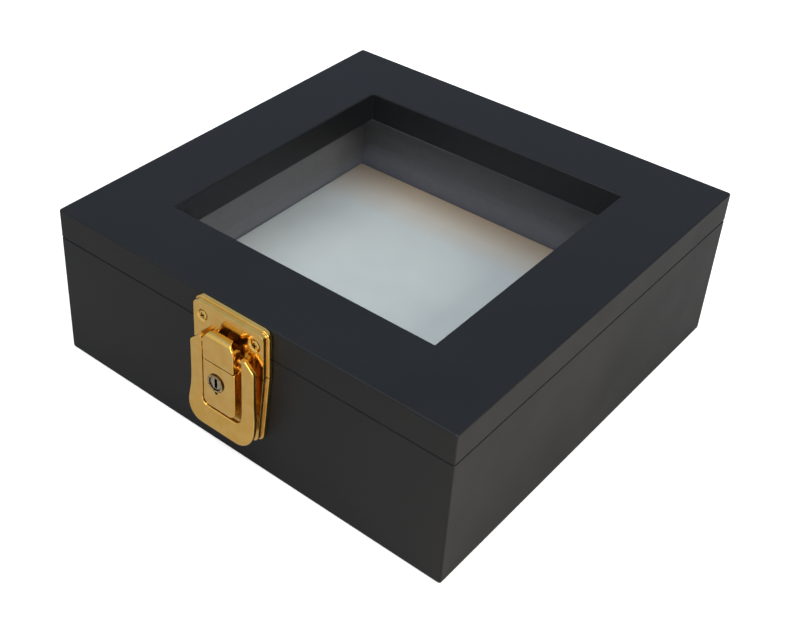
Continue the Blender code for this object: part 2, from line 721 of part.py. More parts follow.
def catch_plate(front_rail):
    """The plate on the lid's front, which reaches down over the seam and carries the staple."""
    low = PLATE_SEAM + PLATE_SEAM_GAP / 2
    plate = pressed_plate("catch_plate", low, CATCH_PLATE_TOP, PLATE_HALF_WIDTH, PLATE_HALF_WIDTH,
                          PLATE_CORNER)
    staple_outline = rounded([(PLATE_FACE - PLATE_SHEET / 2, STAPLE_BOTTOM),
                              (STAPLE_FACE, STAPLE_BOTTOM), (STAPLE_FACE, STAPLE_TOP),
                              (PLATE_FACE - PLATE_SHEET / 2, STAPLE_TOP)],
                             [0, STAPLE_ROUND, STAPLE_ROUND, 0])
    staple = prism("staple", [staple_outline], 2 * STAPLE_HALF_WIDTH, front_point(0, 0, 0),
                   FROM_SIDE, CUTTERS)
    boolean(plate, staple, "UNION")
    slot = box("staple_slot",
               front_point(-STAPLE_SLOT_HALF_LENGTH, PLATE_FACE, STAPLE_TOP - STAPLE_SLOT_DEPTH),
               front_point(STAPLE_SLOT_HALF_LENGTH, STAPLE_FACE - STAPLE_BAR,
                           STAPLE_TOP + OVERRUN), CUTTERS)
    boolean(plate, slot, "DIFFERENCE")
    screws = latch_screws("catch_screw", LATCH_SCREW_X, CATCH_SCREW_HEIGHT, plate, front_rail)
    for piece in [finish_piece(plate, "brass_plate", BRASS_PLATE), *screws]:
        hang(piece, LID_AXIS)


def ear_outline():
    """An ear from the side: a foot on the base plate, a neck behind the hook's pin and a head
    round the lever's pivot."""
    root = PLATE_FACE - PLATE_SHEET / 2
    plate_top = PLATE_SEAM - PLATE_SEAM_GAP / 2
    neck_back = PLATE_FACE + EAR_NECK_CLEARANCE
    neck_front = HOOK_PIN_REACH - PIVOT_PIN_RADIUS - EAR_PIN_CLEARANCE
    neck_top = PIVOT_HEIGHT - EAR_NECK_TOP_DROP
    head = [Vector((PIVOT_REACH, PIVOT_HEIGHT)) + EAR_HEAD_RADIUS * Vector(
            (math.cos(turn), math.sin(turn)))
            for turn in (EAR_ARC_START + EAR_ARC * step / EAR_STEPS
                         for step in range(EAR_STEPS + 1))]
    return ([(root, plate_top - EAR_FOOT_HEIGHT), (neck_front, plate_top - EAR_FOOT_HEIGHT / 2),
             (neck_front, neck_top)] + head +
            [(neck_back, neck_top), (neck_back, plate_top), (root, plate_top)])


def base_plate(front_wall):
    """The plate on the case's front, tapered downwards, with the two ears of the pivot."""
    top = PLATE_SEAM - PLATE_SEAM_GAP / 2
    plate = pressed_plate("latch_base_plate", BASE_PLATE_BOTTOM, top, BASE_PLATE_BOTTOM_HALF_WIDTH,
                          PLATE_HALF_WIDTH, BASE_PLATE_CORNER)
    for side, sign in SIDES:
        ear = prism(f"ear_{side}", [ear_outline()], EAR_THICKNESS,
                    front_point(sign * (EAR_INNER_X + EAR_THICKNESS / 2), 0, 0), FROM_SIDE,
                    CUTTERS)
        boolean(plate, ear, "UNION")
    bore = cylinder("ear_bore", PIVOT_PIN_RADIUS + PIN_CLEARANCE,
                    2 * (EAR_INNER_X + EAR_THICKNESS + OVERRUN),
                    front_point(0, PIVOT_REACH, PIVOT_HEIGHT), ALONG_X, CUTTERS)
    boolean(plate, bore, "DIFFERENCE")
    latch_screws("latch_base_screw", BASE_SCREW_X, BASE_SCREW_HEIGHT, plate, front_wall)
    finish_piece(plate, "brass_plate", BRASS_PLATE)


def lever_frame():
    """The U-shaped lever, with a lug turned back from each arm for the two pins."""
    outer, inner = LEVER_HALF_WIDTH, LEVER_WINDOW_HALF_WIDTH
    hip = LEVER_HIP_HALF_WIDTH
    right = [(hip, LEVER_BOTTOM), (hip, LEVER_HIP_HEIGHT), (outer, LEVER_WAIST_HEIGHT),
             (outer, LEVER_SHOULDER_HEIGHT), (inner + LEVER_SHOULDER_RUN, LEVER_TOP),
             (inner, LEVER_TOP), (inner, LEVER_WINDOW_BOTTOM)]
    radii = [LEVER_CORNER, LEVER_HIP_RADIUS, LEVER_HIP_RADIUS, LEVER_SHOULDER_RADIUS,
             LEVER_SHOULDER_RADIUS / 2, 0, LEVER_WINDOW_CORNER]
    left = [(-x, height) for x, height in reversed(right)]
    outline = rounded(right + left, radii + radii[::-1])
    front = LEVER_BACK + LEVER_THICKNESS
    bend_height = LEVER_BOTTOM + LEVER_LIP_HEIGHT
    floor, ceiling = LEVER_BOTTOM - OVERRUN, LEVER_TOP + OVERRUN
    lip_reach = LEVER_LIP_REACH * (bend_height - floor) / LEVER_LIP_HEIGHT
    section = rounded([(LEVER_BACK + lip_reach, floor), (front + lip_reach, floor),
                       (front, bend_height), (front, ceiling), (LEVER_BACK, ceiling),
                       (LEVER_BACK, bend_height)],
                      [0, 0, LEVER_LIP_BEND, 0, 0, LEVER_LIP_BEND], LIP_STEPS)
    lever = prism("latch_lever", [section], 2 * (hip + OVERRUN), front_point(0, 0, 0), FROM_SIDE)
    depth = front + lip_reach + OVERRUN
    boolean(lever, prism("lever_outline", [outline], depth, front_point(0, depth / 2, 0),
                         FROM_FRONT, CUTTERS), "INTERSECT")
    ease(lever, LEVER_BEVEL)
    lug = link_outline((PIVOT_REACH, PIVOT_HEIGHT), LEVER_LUG_RADIUS,
                       (HOOK_PIN_REACH, HOOK_PIN_HEIGHT), LEVER_LUG_RADIUS)
    for side, sign in SIDES:
        place = front_point(sign * (inner + SEAT_GAP + LEVER_LUG_THICKNESS / 2), 0, 0)
        boolean(lever, prism(f"lug_{side}", [lug], LEVER_LUG_THICKNESS, place, FROM_SIDE, CUTTERS),
                "UNION")
    span = 2 * (inner + LEVER_LUG_THICKNESS + 2 * SEAT_GAP)
    for name, reach, height in (("pivot", PIVOT_REACH, PIVOT_HEIGHT),
                                ("hook", HOOK_PIN_REACH, HOOK_PIN_HEIGHT)):
        bore = cylinder(f"lever_{name}_bore", PIVOT_PIN_RADIUS + PIN_CLEARANCE, span,
                        front_point(0, reach, height), ALONG_X, CUTTERS)
        boolean(lever, bore, "DIFFERENCE")
    finish_piece(lever, "brass_plate", BRASS_PLATE)
    hang(lever, LEVER_AXIS)
    hook_pin = cylinder("hook_pin", PIVOT_PIN_RADIUS, span - 2 * SEAT_GAP,
                        front_point(0, HOOK_PIN_REACH, HOOK_PIN_HEIGHT), ALONG_X)
    finish_piece(hook_pin, "brass_plate", BRASS_PLATE)
    hang(hook_pin, LEVER_AXIS)


def pivot_pins():
    """Two short pins that join the ears to the lever's lugs."""
    length = LEVER_WINDOW_HALF_WIDTH + LEVER_LUG_THICKNESS - EAR_INNER_X
    for side, sign in SIDES:
        centre = front_point(sign * (EAR_INNER_X + length / 2), PIVOT_REACH, PIVOT_HEIGHT)
        pin = cylinder(f"lever_pivot_pin_{side}", PIVOT_PIN_RADIUS, length, centre, ALONG_X)
        finish_piece(pin, "brass_plate", BRASS_PLATE)


def draw_hook():
    """The hook in front of the lid's seam: a face, a flange that turns back to the staple and
    two lugs on the lever's hook pin."""
    low = HOUSING_TOP + HOOK_SPLIT_GAP
    back = HOOK_REACH - HOOK_SHEET
    tip = STAPLE_FACE + HOOK_STAPLE_GAP
    bend = HOOK_BEND_RADIUS
    section = rounded([(back, low), (HOOK_REACH, low), (HOOK_REACH, HOOK_TOP), (tip, HOOK_TOP),
                       (tip, HOOK_TOP - HOOK_SHEET), (back, HOOK_TOP - HOOK_SHEET)],
                      [0, 0, bend, 0, 0, 0])
    hook = prism("draw_hook", [section], 2 * HOOK_HALF_WIDTH, front_point(0, 0, 0), FROM_SIDE)
    half, top_half = HOOK_HALF_WIDTH, HOOK_TOP_HALF_WIDTH
    ceiling = HOOK_TOP + OVERRUN
    face = rounded([(-half, low - OVERRUN), (half, low - OVERRUN), (half, HOOK_SHOULDER_HEIGHT),
                    (top_half, HOOK_TOP - HOOK_SHEET), (top_half, ceiling), (-top_half, ceiling),
                    (-top_half, HOOK_TOP - HOOK_SHEET), (-half, HOOK_SHOULDER_HEIGHT)],
                   [0, 0, HOOK_SHOULDER_RADIUS, HOOK_SHOULDER_RADIUS / 2, 0, 0,
                    HOOK_SHOULDER_RADIUS / 2, HOOK_SHOULDER_RADIUS])
    depth = HOOK_REACH + OVERRUN
    boolean(hook, prism("hook_face", [face], depth, front_point(0, depth / 2, 0), FROM_FRONT,
                        CUTTERS), "INTERSECT")
    front_y, tip_y = -HALF_DEPTH - HOOK_REACH - OVERRUN, -HALF_DEPTH - tip + OVERRUN
    back_y = -HALF_DEPTH - back
    plan = [(-half - OVERRUN, front_y), (half + OVERRUN, front_y), (half + OVERRUN, back_y),
            (top_half, back_y), (HOOK_TIP_HALF_WIDTH, tip_y), (-HOOK_TIP_HALF_WIDTH, tip_y),
            (-top_half, back_y), (-half - OVERRUN, back_y)]
    height = HOOK_TOP - low + 2 * OVERRUN
    boolean(hook, prism("hook_plan", [plan], height, Vector((0, 0, (HOOK_TOP + low) / 2)),
                        FROM_ABOVE, CUTTERS), "INTERSECT")
    root = HOOK_REACH - HOOK_SHEET / 2 - HOOK_LUG_RADIUS / 2
    lug = link_outline((HOOK_PIN_REACH, HOOK_PIN_HEIGHT), HOOK_LUG_RADIUS,
                       (root, HOOK_PIN_HEIGHT + HOOK_LUG_RADIUS / 2), HOOK_SHEET / 2)
    for side, sign in SIDES:
        place = front_point(sign * (half - HOOK_LUG_INSET - HOOK_LUG_THICKNESS / 2), 0, 0)
        boolean(hook, prism(f"hook_lug_{side}", [lug], HOOK_LUG_THICKNESS, place, FROM_SIDE,
                            CUTTERS), "UNION")
    bore = cylinder("hook_bore", PIVOT_PIN_RADIUS + PIN_CLEARANCE, 2 * (half + OVERRUN),
                    front_point(0, HOOK_PIN_REACH, HOOK_PIN_HEIGHT), ALONG_X, CUTTERS)
    boolean(hook, bore, "DIFFERENCE")
    finish_piece(hook, "brass_plate", BRASS_PLATE)
    hang(hook, HOOK_AXIS)


def lock_housing():
    """The block in the lever's window, bored for the lock cylinder, with the cam's pocket
    behind."""
    half, corner = HOUSING_HALF_WIDTH, HOUSING_CORNER
    outline = rounded([(-half, HOUSING_BOTTOM), (half, HOUSING_BOTTOM), (half, HOUSING_TOP),
                       (-half, HOUSING_TOP)], [corner, corner, 0, 0])
    depth = HOUSING_REACH - HOUSING_BACK
    housing = prism("lock_housing", [outline], depth,
                    front_point(0, HOUSING_BACK + depth / 2, 0), FROM_FRONT)
    ease(housing, HOUSING_BEVEL)
    margin = POCKET_MARGIN
    pocket = box("cam_pocket",
                 front_point(margin - half, HOUSING_BACK - OVERRUN, HOUSING_BOTTOM + 2 * margin),
                 front_point(half - margin, POCKET_FLOOR, HOUSING_TOP - margin), CUTTERS)
    boolean(housing, pocket, "DIFFERENCE")
    well = cylinder("cylinder_well", CYLINDER_RADIUS + LOCK_CLEARANCE, HOUSING_REACH,
                    front_point(LOCK_OFFSET, POCKET_FLOOR + HOUSING_REACH / 2 - OVERRUN,
                                LOCK_HEIGHT),
                    FROM_FRONT, CUTTERS, ROUND_SIDES)
    boolean(housing, well, "DIFFERENCE")
    spot = front_point(LOCK_OFFSET, HOUSING_REACH, LOCK_HEIGHT - DRAIN_HOLE_DROP)
    hole = cylinder("small_hole", DRAIN_HOLE_RADIUS, 2 * DRAIN_HOLE_DEPTH, spot, FROM_FRONT,
                    CUTTERS)
    boolean(housing, hole, "DIFFERENCE")
    finish_piece(housing, "brass_plate", BRASS_PLATE)


def lock_cylinder():
    """The fixed cylinder, a turned sleeve round the plug."""
    back, front = POCKET_FLOOR, HOUSING_REACH + CYLINDER_PROUD
    centre = front_point(LOCK_OFFSET, (back + front) / 2, LOCK_HEIGHT)
    sleeve = cylinder("lock_cylinder", CYLINDER_RADIUS, front - back, centre, FROM_FRONT,
                      sides=ROUND_SIDES)
    ease(sleeve, CYLINDER_BEVEL, 1)
    bore = cylinder("plug_bore", PLUG_RADIUS + LOCK_CLEARANCE, front - back + 2 * OVERRUN,
                    centre, FROM_FRONT, CUTTERS, ROUND_SIDES)
    boolean(sleeve, bore, "DIFFERENCE")
    finish_piece(sleeve, "bright_steel", BRIGHT_STEEL)


def key_plug():
    """The plug that the key turns, with its keyway, and the cam on its inner end."""
    cam_front = HOUSING_BACK + SEAT_GAP + CAM_THICKNESS
    back, front = cam_front + SEAT_GAP, HOUSING_REACH + CYLINDER_PROUD - PLUG_RECESS
    plug = cylinder("key_plug", PLUG_RADIUS, front - back,
                    front_point(LOCK_OFFSET, (back + front) / 2, LOCK_HEIGHT), FROM_FRONT,
                    sides=ROUND_SIDES)
    keyway = box("keyway",
                 front_point(LOCK_OFFSET - KEYWAY_WIDTH / 2, front - KEYWAY_DEPTH,
                             LOCK_HEIGHT - KEYWAY_HEIGHT / 2),
                 front_point(LOCK_OFFSET + KEYWAY_WIDTH / 2, front + OVERRUN,
                             LOCK_HEIGHT + KEYWAY_HEIGHT / 2),
                 CUTTERS)
    boolean(plug, keyway, "DIFFERENCE")
    finish_piece(plug, "bright_steel", BRIGHT_STEEL)
    outline = link_outline((0, 0), PLUG_RADIUS, (0, -CAM_LENGTH), CAM_HALF_WIDTH / 2)
    cam = prism("lock_cam", [outline], CAM_THICKNESS,
                front_point(LOCK_OFFSET, cam_front - CAM_THICKNESS / 2, LOCK_HEIGHT), FROM_FRONT)
    finish_piece(cam, "bright_steel", BRIGHT_STEEL)
    for piece in (plug, cam):
        hang(piece, PLUG_AXIS)


def build():
    """Make every piece."""
    wedges = mitre_wedges()
    walls = case_walls(wedges)
    rails = lid_rails(wedges)
    glass_beads(wedges)
    glass_pane()
    bottom_panel()
    display_board()
    hinges(walls["back"], rails["back"])
    catch_plate(rails["front"])
    base_plate(walls["front"])
    mitre(walls, wedges)
    mitre(rails, wedges)
    lever_frame()
    pivot_pins()
    draw_hook()
    lock_housing()
    lock_cylinder()
    key_plug()


build()
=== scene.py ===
# %% [markdown]
# # A glazed shadow box with a keyed draw latch
#
# A small square display case stands closed on a pale table: satin black lacquer over fibreboard,
# a window in the lid with a loose pane behind it, a white card on the floor of the case, and a
# brass-plated latch in the middle of the front. The CAD model is the fixed frame. What the eye
# rests on is worked out here as smooth surfaces on grids of numbers, and each one rides on the
# CAD body that carries it. Lengths are in metres, and MM makes one from millimetres.

# %% Load the frame
import json
import math

import bpy
import numpy as np
from mathutils import Matrix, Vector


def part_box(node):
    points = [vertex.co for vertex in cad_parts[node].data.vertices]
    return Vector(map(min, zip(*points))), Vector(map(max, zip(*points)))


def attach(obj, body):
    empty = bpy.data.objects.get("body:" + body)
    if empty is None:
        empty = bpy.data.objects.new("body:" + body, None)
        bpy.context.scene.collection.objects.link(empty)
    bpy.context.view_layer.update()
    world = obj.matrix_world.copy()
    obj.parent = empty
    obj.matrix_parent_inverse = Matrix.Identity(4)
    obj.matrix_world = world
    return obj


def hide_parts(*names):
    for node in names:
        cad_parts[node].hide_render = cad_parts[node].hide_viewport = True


MM = 0.001

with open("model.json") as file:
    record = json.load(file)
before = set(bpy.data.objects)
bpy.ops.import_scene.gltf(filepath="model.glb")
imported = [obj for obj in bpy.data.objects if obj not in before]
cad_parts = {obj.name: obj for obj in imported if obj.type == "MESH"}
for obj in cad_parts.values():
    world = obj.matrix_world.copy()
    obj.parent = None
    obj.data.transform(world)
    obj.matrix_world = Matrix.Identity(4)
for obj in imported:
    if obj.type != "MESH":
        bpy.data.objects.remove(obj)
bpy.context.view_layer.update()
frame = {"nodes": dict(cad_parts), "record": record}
bodies = frame["record"]["behaviour"]["bodies"]
print("bodies:", {name: len(nodes) for name, nodes in bodies.items()})

# %% [markdown]
# ## Camera
#
# The photograph's camera was solved from the eight corners of the box and the four corners of its
# window. The picture's centre isn't on the lens axis, so the frame is shifted, as on a crop. A
# camera could also be turned by hand until the edges fit, but a solved one leaves no doubt about
# sizes read from the picture.

# %% The photograph's camera
PICTURE_WIDTH = 787
FOCAL_PIXELS = 1279.71
SENSOR_WIDTH = 36.0
SHIFT_PIXELS = (110.55, -70.275)
CAMERA_PLACE = (0.25895707, -0.36915816, 0.36406223)
CAMERA_ROWS = ((0.7473678828, 0.6643362224, 0.0099313343),
               (-0.3863132666, 0.4223380712, 0.8199954961),
               (0.5405583297, -0.6166749041, 0.5722838063))


def add_object(name, data):
    """A new object with this data, in the scene."""
    made = bpy.data.objects.new(name, data)
    bpy.context.scene.collection.objects.link(made)
    return made


lens = bpy.data.cameras.new("photo_camera")
lens.sensor_width = SENSOR_WIDTH
lens.lens = FOCAL_PIXELS / PICTURE_WIDTH * SENSOR_WIDTH
lens.shift_x, lens.shift_y = (pixels / PICTURE_WIDTH for pixels in SHIFT_PIXELS)
lens.clip_start = 0.01
camera = add_object("photo_camera", lens)
camera.matrix_world = Matrix.Translation(CAMERA_PLACE) @ Matrix(CAMERA_ROWS).transposed().to_4x4()
bpy.context.scene.camera = camera
bpy.context.scene.view_settings.view_transform = "Standard"
print("lens %.1f mm, shift %.3f %.3f" % (lens.lens, lens.shift_x, lens.shift_y))

# %% [markdown]
# ## From numbers to a mesh
#
# A piece could be built from Blender's boxes and cylinders with Bevel modifiers. Here every new
# piece is a grid of points instead, because each edge can then have the radius that it has on the
# real object: one index runs along a path and the other round a profile. The helper joins
# neighbours into quads, closes the ends where a piece has ends, and turns the whole skin round if
# its signed volume comes out negative, so that faces always point outwards.

# %% Grid to mesh
SMOOTH_BELOW = math.radians(32)


def skin(points, ends):
    """Quads over a (rows, columns, 3) grid whose columns close on themselves. The rows close too,
    or else each end row becomes one flat face."""
    rows, columns = points.shape[:2]
    index = np.arange(rows * columns).reshape(rows, columns)
    here, following = (index[:-1], index[1:]) if ends else (index, np.roll(index, -1, axis=0))
    quads = np.stack([here, np.roll(here, -1, axis=1), np.roll(following, -1, axis=1), following],
                     axis=-1).reshape(-1, 4)
    faces = quads.tolist()
    if ends:
        faces += [index[0, ::-1].tolist(), index[-1].tolist()]
    return points.reshape(-1, 3), faces


def volume(points, faces):
    """Signed volume inside a skin: the sum of the cones from the origin to each fan triangle."""
    total = 0.0
    for size in {len(face) for face in faces}:
        fan = points[np.array([face for face in faces if len(face) == size])]
        first, second, third = fan[:, :1], fan[:, 1:-1], fan[:, 2:]
        total += np.einsum("fij,fij->", np.broadcast_to(first, second.shape),
                           np.cross(second, third)) / 6
    return total


def joined(name, shells):
    """A mesh of one or more closed skins, each turned so that its faces point outwards."""
    points, faces = [], []
    for shell_points, shell_faces in shells:
        if volume(shell_points, shell_faces) < 0:
            shell_faces = [face[::-1] for face in shell_faces]
        start = sum(len(part) for part in points)
        faces += [[corner + start for corner in face] for face in shell_faces]
        points.append(shell_points)
    mesh = bpy.data.meshes.new(name)
    mesh.from_pydata(np.concatenate(points).tolist(), [], faces)
    return mesh


def smooth(mesh):
    """Smooth shading, with a crease wherever two faces meet at a steep angle."""
    mesh.shade_smooth()
    mesh.set_sharp_from_angle(angle=SMOOTH_BELOW)


def add_piece(name, shells, body, stands_for):
    """One object from closed skins, riding on its body in the place of its CAD nodes."""
    mesh = joined(name, shells)
    mesh.validate()
    smooth(mesh)
    piece = add_object(name, mesh)
    even = piece.modifiers.new("flat faces stay flat", "WEIGHTED_NORMAL")
    even.keep_sharp = True
    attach(piece, body)
    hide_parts(*stands_for)
    size = np.ptp(np.concatenate([points for points, faces in shells]), axis=0) / MM
    print("%s: %d faces, %.1f x %.1f x %.1f mm" % (name, len(mesh.polygons), *size))
    return piece


# %% [markdown]
# Sharp corners of an outline look cut from paper. Real ones are worn, sprayed or pressed round, so
# each corner becomes an arc, and the arc has the same number of points whatever its radius.

# %% Outlines with rounded corners
def unit(vectors):
    """Vectors divided by their length."""
    return vectors / np.linalg.norm(vectors, axis=-1, keepdims=True)


def rounded(corners, radii, steps=6):
    """Corners (k, 2) replaced by arcs. Each arc's centre lies on the corner's bisector at
    radius / sin(half angle), and the arc is the slerp between its two tangent points."""
    corners = np.asarray(corners, float)
    radii = np.broadcast_to(np.asarray(radii, float), len(corners))[:, None]
    before = unit(np.roll(corners, 1, axis=0) - corners)
    after = unit(np.roll(corners, -1, axis=0) - corners)
    half = np.arccos(np.clip((before * after).sum(axis=1, keepdims=True), -1, 1)) / 2
    centre = corners + unit(before + after) * radii / np.sin(half)
    start = corners + before * radii / np.tan(half) - centre
    end = corners + after * radii / np.tan(half) - centre
    sweep = (np.pi - 2 * half)[:, None]
    share = np.linspace(0, 1, steps + 1)[None, :, None]
    arcs = np.sin((1 - share) * sweep) * start[:, None] + np.sin(share * sweep) * end[:, None]
    return (centre[:, None] + arcs / np.sin(sweep)).reshape(-1, 2)


# %% [markdown]
# ## Case and lid
#
# The real walls are mitred, filled and sprayed after assembly, so no joint shows and the corners
# are slightly soft. Four boxes with bevels would leave a groove at each mitre, so one profile per
# frame is carried round a square path instead. The square's own corner radius belongs to each
# profile point: about a millimetre outside, where the paint is rubbed, and a small fillet inside,
# where lacquer gathers.

# %% A profile carried round a square
def square_frame(profile, corner_radii, per_corner=5, per_side=6):
    """Grid of a profile (k, 2) of half-width and height. At corner sign S and arc direction D the
    point is S * (half - radius) + D * radius, and between corners S slides from one to the next."""
    turn = np.linspace(0, np.pi / 2, per_corner)
    signs = np.array([(1, 1), (-1, 1), (-1, -1), (1, -1)], float)
    quarter = np.arange(4)[:, None] * np.pi / 2
    direction = np.stack([np.cos(turn + quarter), np.sin(turn + quarter)], axis=-1)
    corner = np.repeat(signs[:, None], per_corner, axis=1)
    slide = np.linspace(0, 1, per_side + 2)[1:-1][None, :, None]
    side = signs[:, None] * (1 - slide) + np.roll(signs, -1, axis=0)[:, None] * slide
    side_direction = np.repeat(direction[:, -1:], per_side, axis=1)
    anchor = np.concatenate([corner, side], axis=1).reshape(-1, 2)
    direction = np.concatenate([direction, side_direction], axis=1).reshape(-1, 2)
    half, radius = profile[:, 0, None, None], np.asarray(corner_radii)[:, None, None]
    flat = anchor * (half - radius) + direction * radius
    height = np.broadcast_to(profile[:, 1, None, None], (*flat.shape[:2], 1))
    return skin(np.concatenate([flat, height], axis=-1), ends=False)


def frame_profile(corners, radii, middle, outer_radius, inner_radius, steps=5):
    """A rounded profile, and for each of its points the radius that the square has there."""
    profile = rounded(corners, radii, steps)
    return profile, np.where(profile[:, 0] > middle, outer_radius, inner_radius)


# %% [markdown]
# Every size that has to meet another part is read from the CAD model, as where a node starts and
# ends along one axis. Only the softness of the edges is chosen here.

# %% Painted case and lid
CORNER_OUTSIDE, CORNER_INSIDE = 0.9 * MM, 0.4 * MM
PAINTED_EDGE, SEAM_EDGE, CRISP_EDGE = 0.9 * MM, 0.45 * MM, 0.2 * MM
PANE_SEAT = 6.0 * MM
PANE_ROOM = 0.02 * MM
FIT = 0.3 * MM


def cad_range(node, axis):
    """Where a CAD node starts and ends along x, y or z."""
    low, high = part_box(node)
    return low["xyz".index(axis)], high["xyz".index(axis)]


INNER, HALF = cad_range("right_wall", "x")
CASE_TOP = cad_range("front_wall", "z")[1]
WINDOW = -cad_range("lid_front_rail", "y")[1]
LID_BOTTOM, LID_TOP = cad_range("lid_front_rail", "z")
PANE_LOW, PANE_HIGH = cad_range("glass_pane", "z")
PANE_TOP = PANE_HIGH + PANE_ROOM
REBATE = cad_range("bottom_panel", "x")[1] + FIT
REBATE_TOP = cad_range("bottom_panel", "z")[1] + FIT
print("half %.4f inner %.4f window %.4f, seam %.4f to %.4f" % (HALF, INNER, WINDOW, CASE_TOP,
                                                              LID_BOTTOM))

case_shell = square_frame(*frame_profile(
    [(REBATE, 0), (HALF, 0), (HALF, CASE_TOP), (INNER, CASE_TOP), (INNER, REBATE_TOP),
     (REBATE, REBATE_TOP)],
    [CRISP_EDGE, PAINTED_EDGE, SEAM_EDGE, PAINTED_EDGE, CRISP_EDGE, CRISP_EDGE],
    (HALF + REBATE) / 2, CORNER_OUTSIDE, CORNER_INSIDE))
case = add_piece("painted_case", [case_shell], "case",
                 ["front_wall", "back_wall", "left_wall", "right_wall"])

lid_shell = square_frame(*frame_profile(
    [(WINDOW, PANE_TOP), (WINDOW + PANE_SEAT, PANE_TOP), (WINDOW + PANE_SEAT, LID_BOTTOM),
     (HALF, LID_BOTTOM), (HALF, LID_TOP), (WINDOW, LID_TOP)],
    [CRISP_EDGE / 2, CRISP_EDGE / 2, CRISP_EDGE / 4, SEAM_EDGE, PAINTED_EDGE, PAINTED_EDGE],
    (HALF + WINDOW) / 2, CORNER_OUTSIDE, CORNER_INSIDE))
lid = add_piece("painted_lid", [lid_shell], "lid",
                ["lid_front_rail", "lid_back_rail", "lid_left_rail", "lid_right_rail"])

# %% [markdown]
# ## Beads under the pane
#
# Four thin strips hold the pane up against the lid. They show only when the lid is open. They are
# sprayed with the lid, so they are one frame too, made by the same function as the lid, with the
# step that the pane's edge lies in.

# %% Glass bead frame
BEAD_OUTER = cad_range("glass_bead_front", "x")[1]
BEAD_INNER = -cad_range("glass_bead_front", "y")[1]
BEAD_LOW, BEAD_HIGH = cad_range("glass_bead_front", "z")
STEP = cad_range("glass_pane", "x")[1] + FIT
STEP_HEIGHT = PANE_LOW - FIT
bead_shell = square_frame(*frame_profile(
    [(BEAD_INNER, BEAD_LOW), (BEAD_OUTER, BEAD_LOW), (BEAD_OUTER, BEAD_HIGH),
     (STEP, BEAD_HIGH), (STEP, STEP_HEIGHT), (BEAD_INNER, STEP_HEIGHT)],
    [PAINTED_EDGE, PAINTED_EDGE, CRISP_EDGE, CRISP_EDGE, CRISP_EDGE, CRISP_EDGE],
    (BEAD_OUTER + BEAD_INNER) / 2, CORNER_INSIDE, CORNER_INSIDE, steps=3))
bead = add_piece("glass_bead_frame", [bead_shell], "lid",
                 ["glass_bead_front", "glass_bead_back", "glass_bead_left", "glass_bead_right"])

# %% [markdown]
# ## Draw latch
#
# A draw latch is pressed and cast, so it has hardly a sharp edge, and what the eye takes for brass
# is mostly the light that runs along those rounded edges. They are therefore modelled, not left
# to a Bevel modifier, which would give them all one width. The latch is drawn from outlines seen
# from the front or from the side. A distance "reach" is how far a point stands out from the front
# of the box. Each piece is a stack of outlines with the same number of points, so rounded edges,
# dished recesses and keyways are only more rows. An outline is drawn in towards its middle by
# moving every side inwards and meeting them again.

# %% Stacks of outlines
SHARP = 0.05 * MM


def drawn_in(corners, radii, inset, shares=1.0, steps=6):
    """An anticlockwise outline whose sides have moved in by inset times their share. Each new
    corner solves n1.x = n1.c + d1 and n2.x = n2.c + d2, for the normals of its two sides."""
    corners = np.asarray(corners, float)
    along = unit(np.roll(corners, -1, axis=0) - corners)
    normal = np.stack([-along[:, 1], along[:, 0]], axis=-1)
    depth = np.broadcast_to(shares, len(corners)) * inset
    level = (normal * corners).sum(axis=1) + depth
    sides = np.stack([np.roll(normal, 1, axis=0), normal], axis=1)
    moved = np.linalg.solve(sides, np.stack([np.roll(level, 1), level], axis=1)[..., None])[..., 0]
    before = np.roll(along, 1, axis=0)
    turn = np.sign(before[:, 0] * along[:, 1] - before[:, 1] * along[:, 0])
    radii = np.maximum(np.broadcast_to(radii, len(corners)) - turn * inset, SHARP)
    return rounded(moved, radii, steps)


def eased(inset, reach, radius, steps=4):
    """Rows of a rounded edge: a quarter circle that turns from the side to the face."""
    turn = np.linspace(0, np.pi / 2, steps + 1)
    return [(inset + radius * (1 - math.cos(a)), reach - radius * (1 - math.sin(a)))
            for a in turn]


def from_front(outline, reach):
    """Points of an outline of (x, height) at a reach in front of the box."""
    return np.column_stack([outline[:, 0], np.full(len(outline), -HALF - reach), outline[:, 1]])


def from_side(outline, x):
    """Points of an outline of (reach, height) at a distance x to the right."""
    return np.column_stack([np.full(len(outline), x), -HALF - outline[:, 0], outline[:, 1]])


def from_above(outline, height):
    """Points of an outline of (x, reach) at a height."""
    return np.column_stack([outline[:, 0], -HALF - outline[:, 1], np.full(len(outline), height)])


def stack(rows, ends=True):
    """A closed skin over rows of points."""
    return skin(np.array(rows), ends)


# %% [markdown]
# Lugs, ears and turned parts are made of circles. A lug is a link: two circles with their common
# tangents, pierced where its pin goes through. The hole could be cut by a Boolean, but as further
# rows of the same grid it stays clean and can't fail.

# %% Circles, links and lugs
LUG_EDGE = 0.25 * MM


def ring(radius, count, centre=(0, 0), start=0.0):
    """Points on a circle, or on a curve whose radius is given for each angle."""
    angle = start + np.linspace(0, 2 * np.pi, count, endpoint=False)
    radius = radius(angle) if callable(radius) else radius
    return np.column_stack([centre[0] + radius * np.cos(angle), centre[1] + radius * np.sin(angle)])


def turned(lathe, count, centre, start=0.0):
    """Rows of a turned piece, from its (radius, reach) pairs, about an axis out of the front."""
    return [from_front(ring(radius, count, centre, start), reach) for radius, reach in lathe]


def arc(centre, radius, begin, finish, count):
    """Points of a circle from one angle to another."""
    turn = np.linspace(begin, finish, count)
    return centre + radius * np.column_stack([np.cos(turn), np.sin(turn)])


def at_angles(outline, centre, radius):
    """The circle about centre that has a point at the same angle as each point of the outline."""
    return centre + unit(outline - centre) * radius


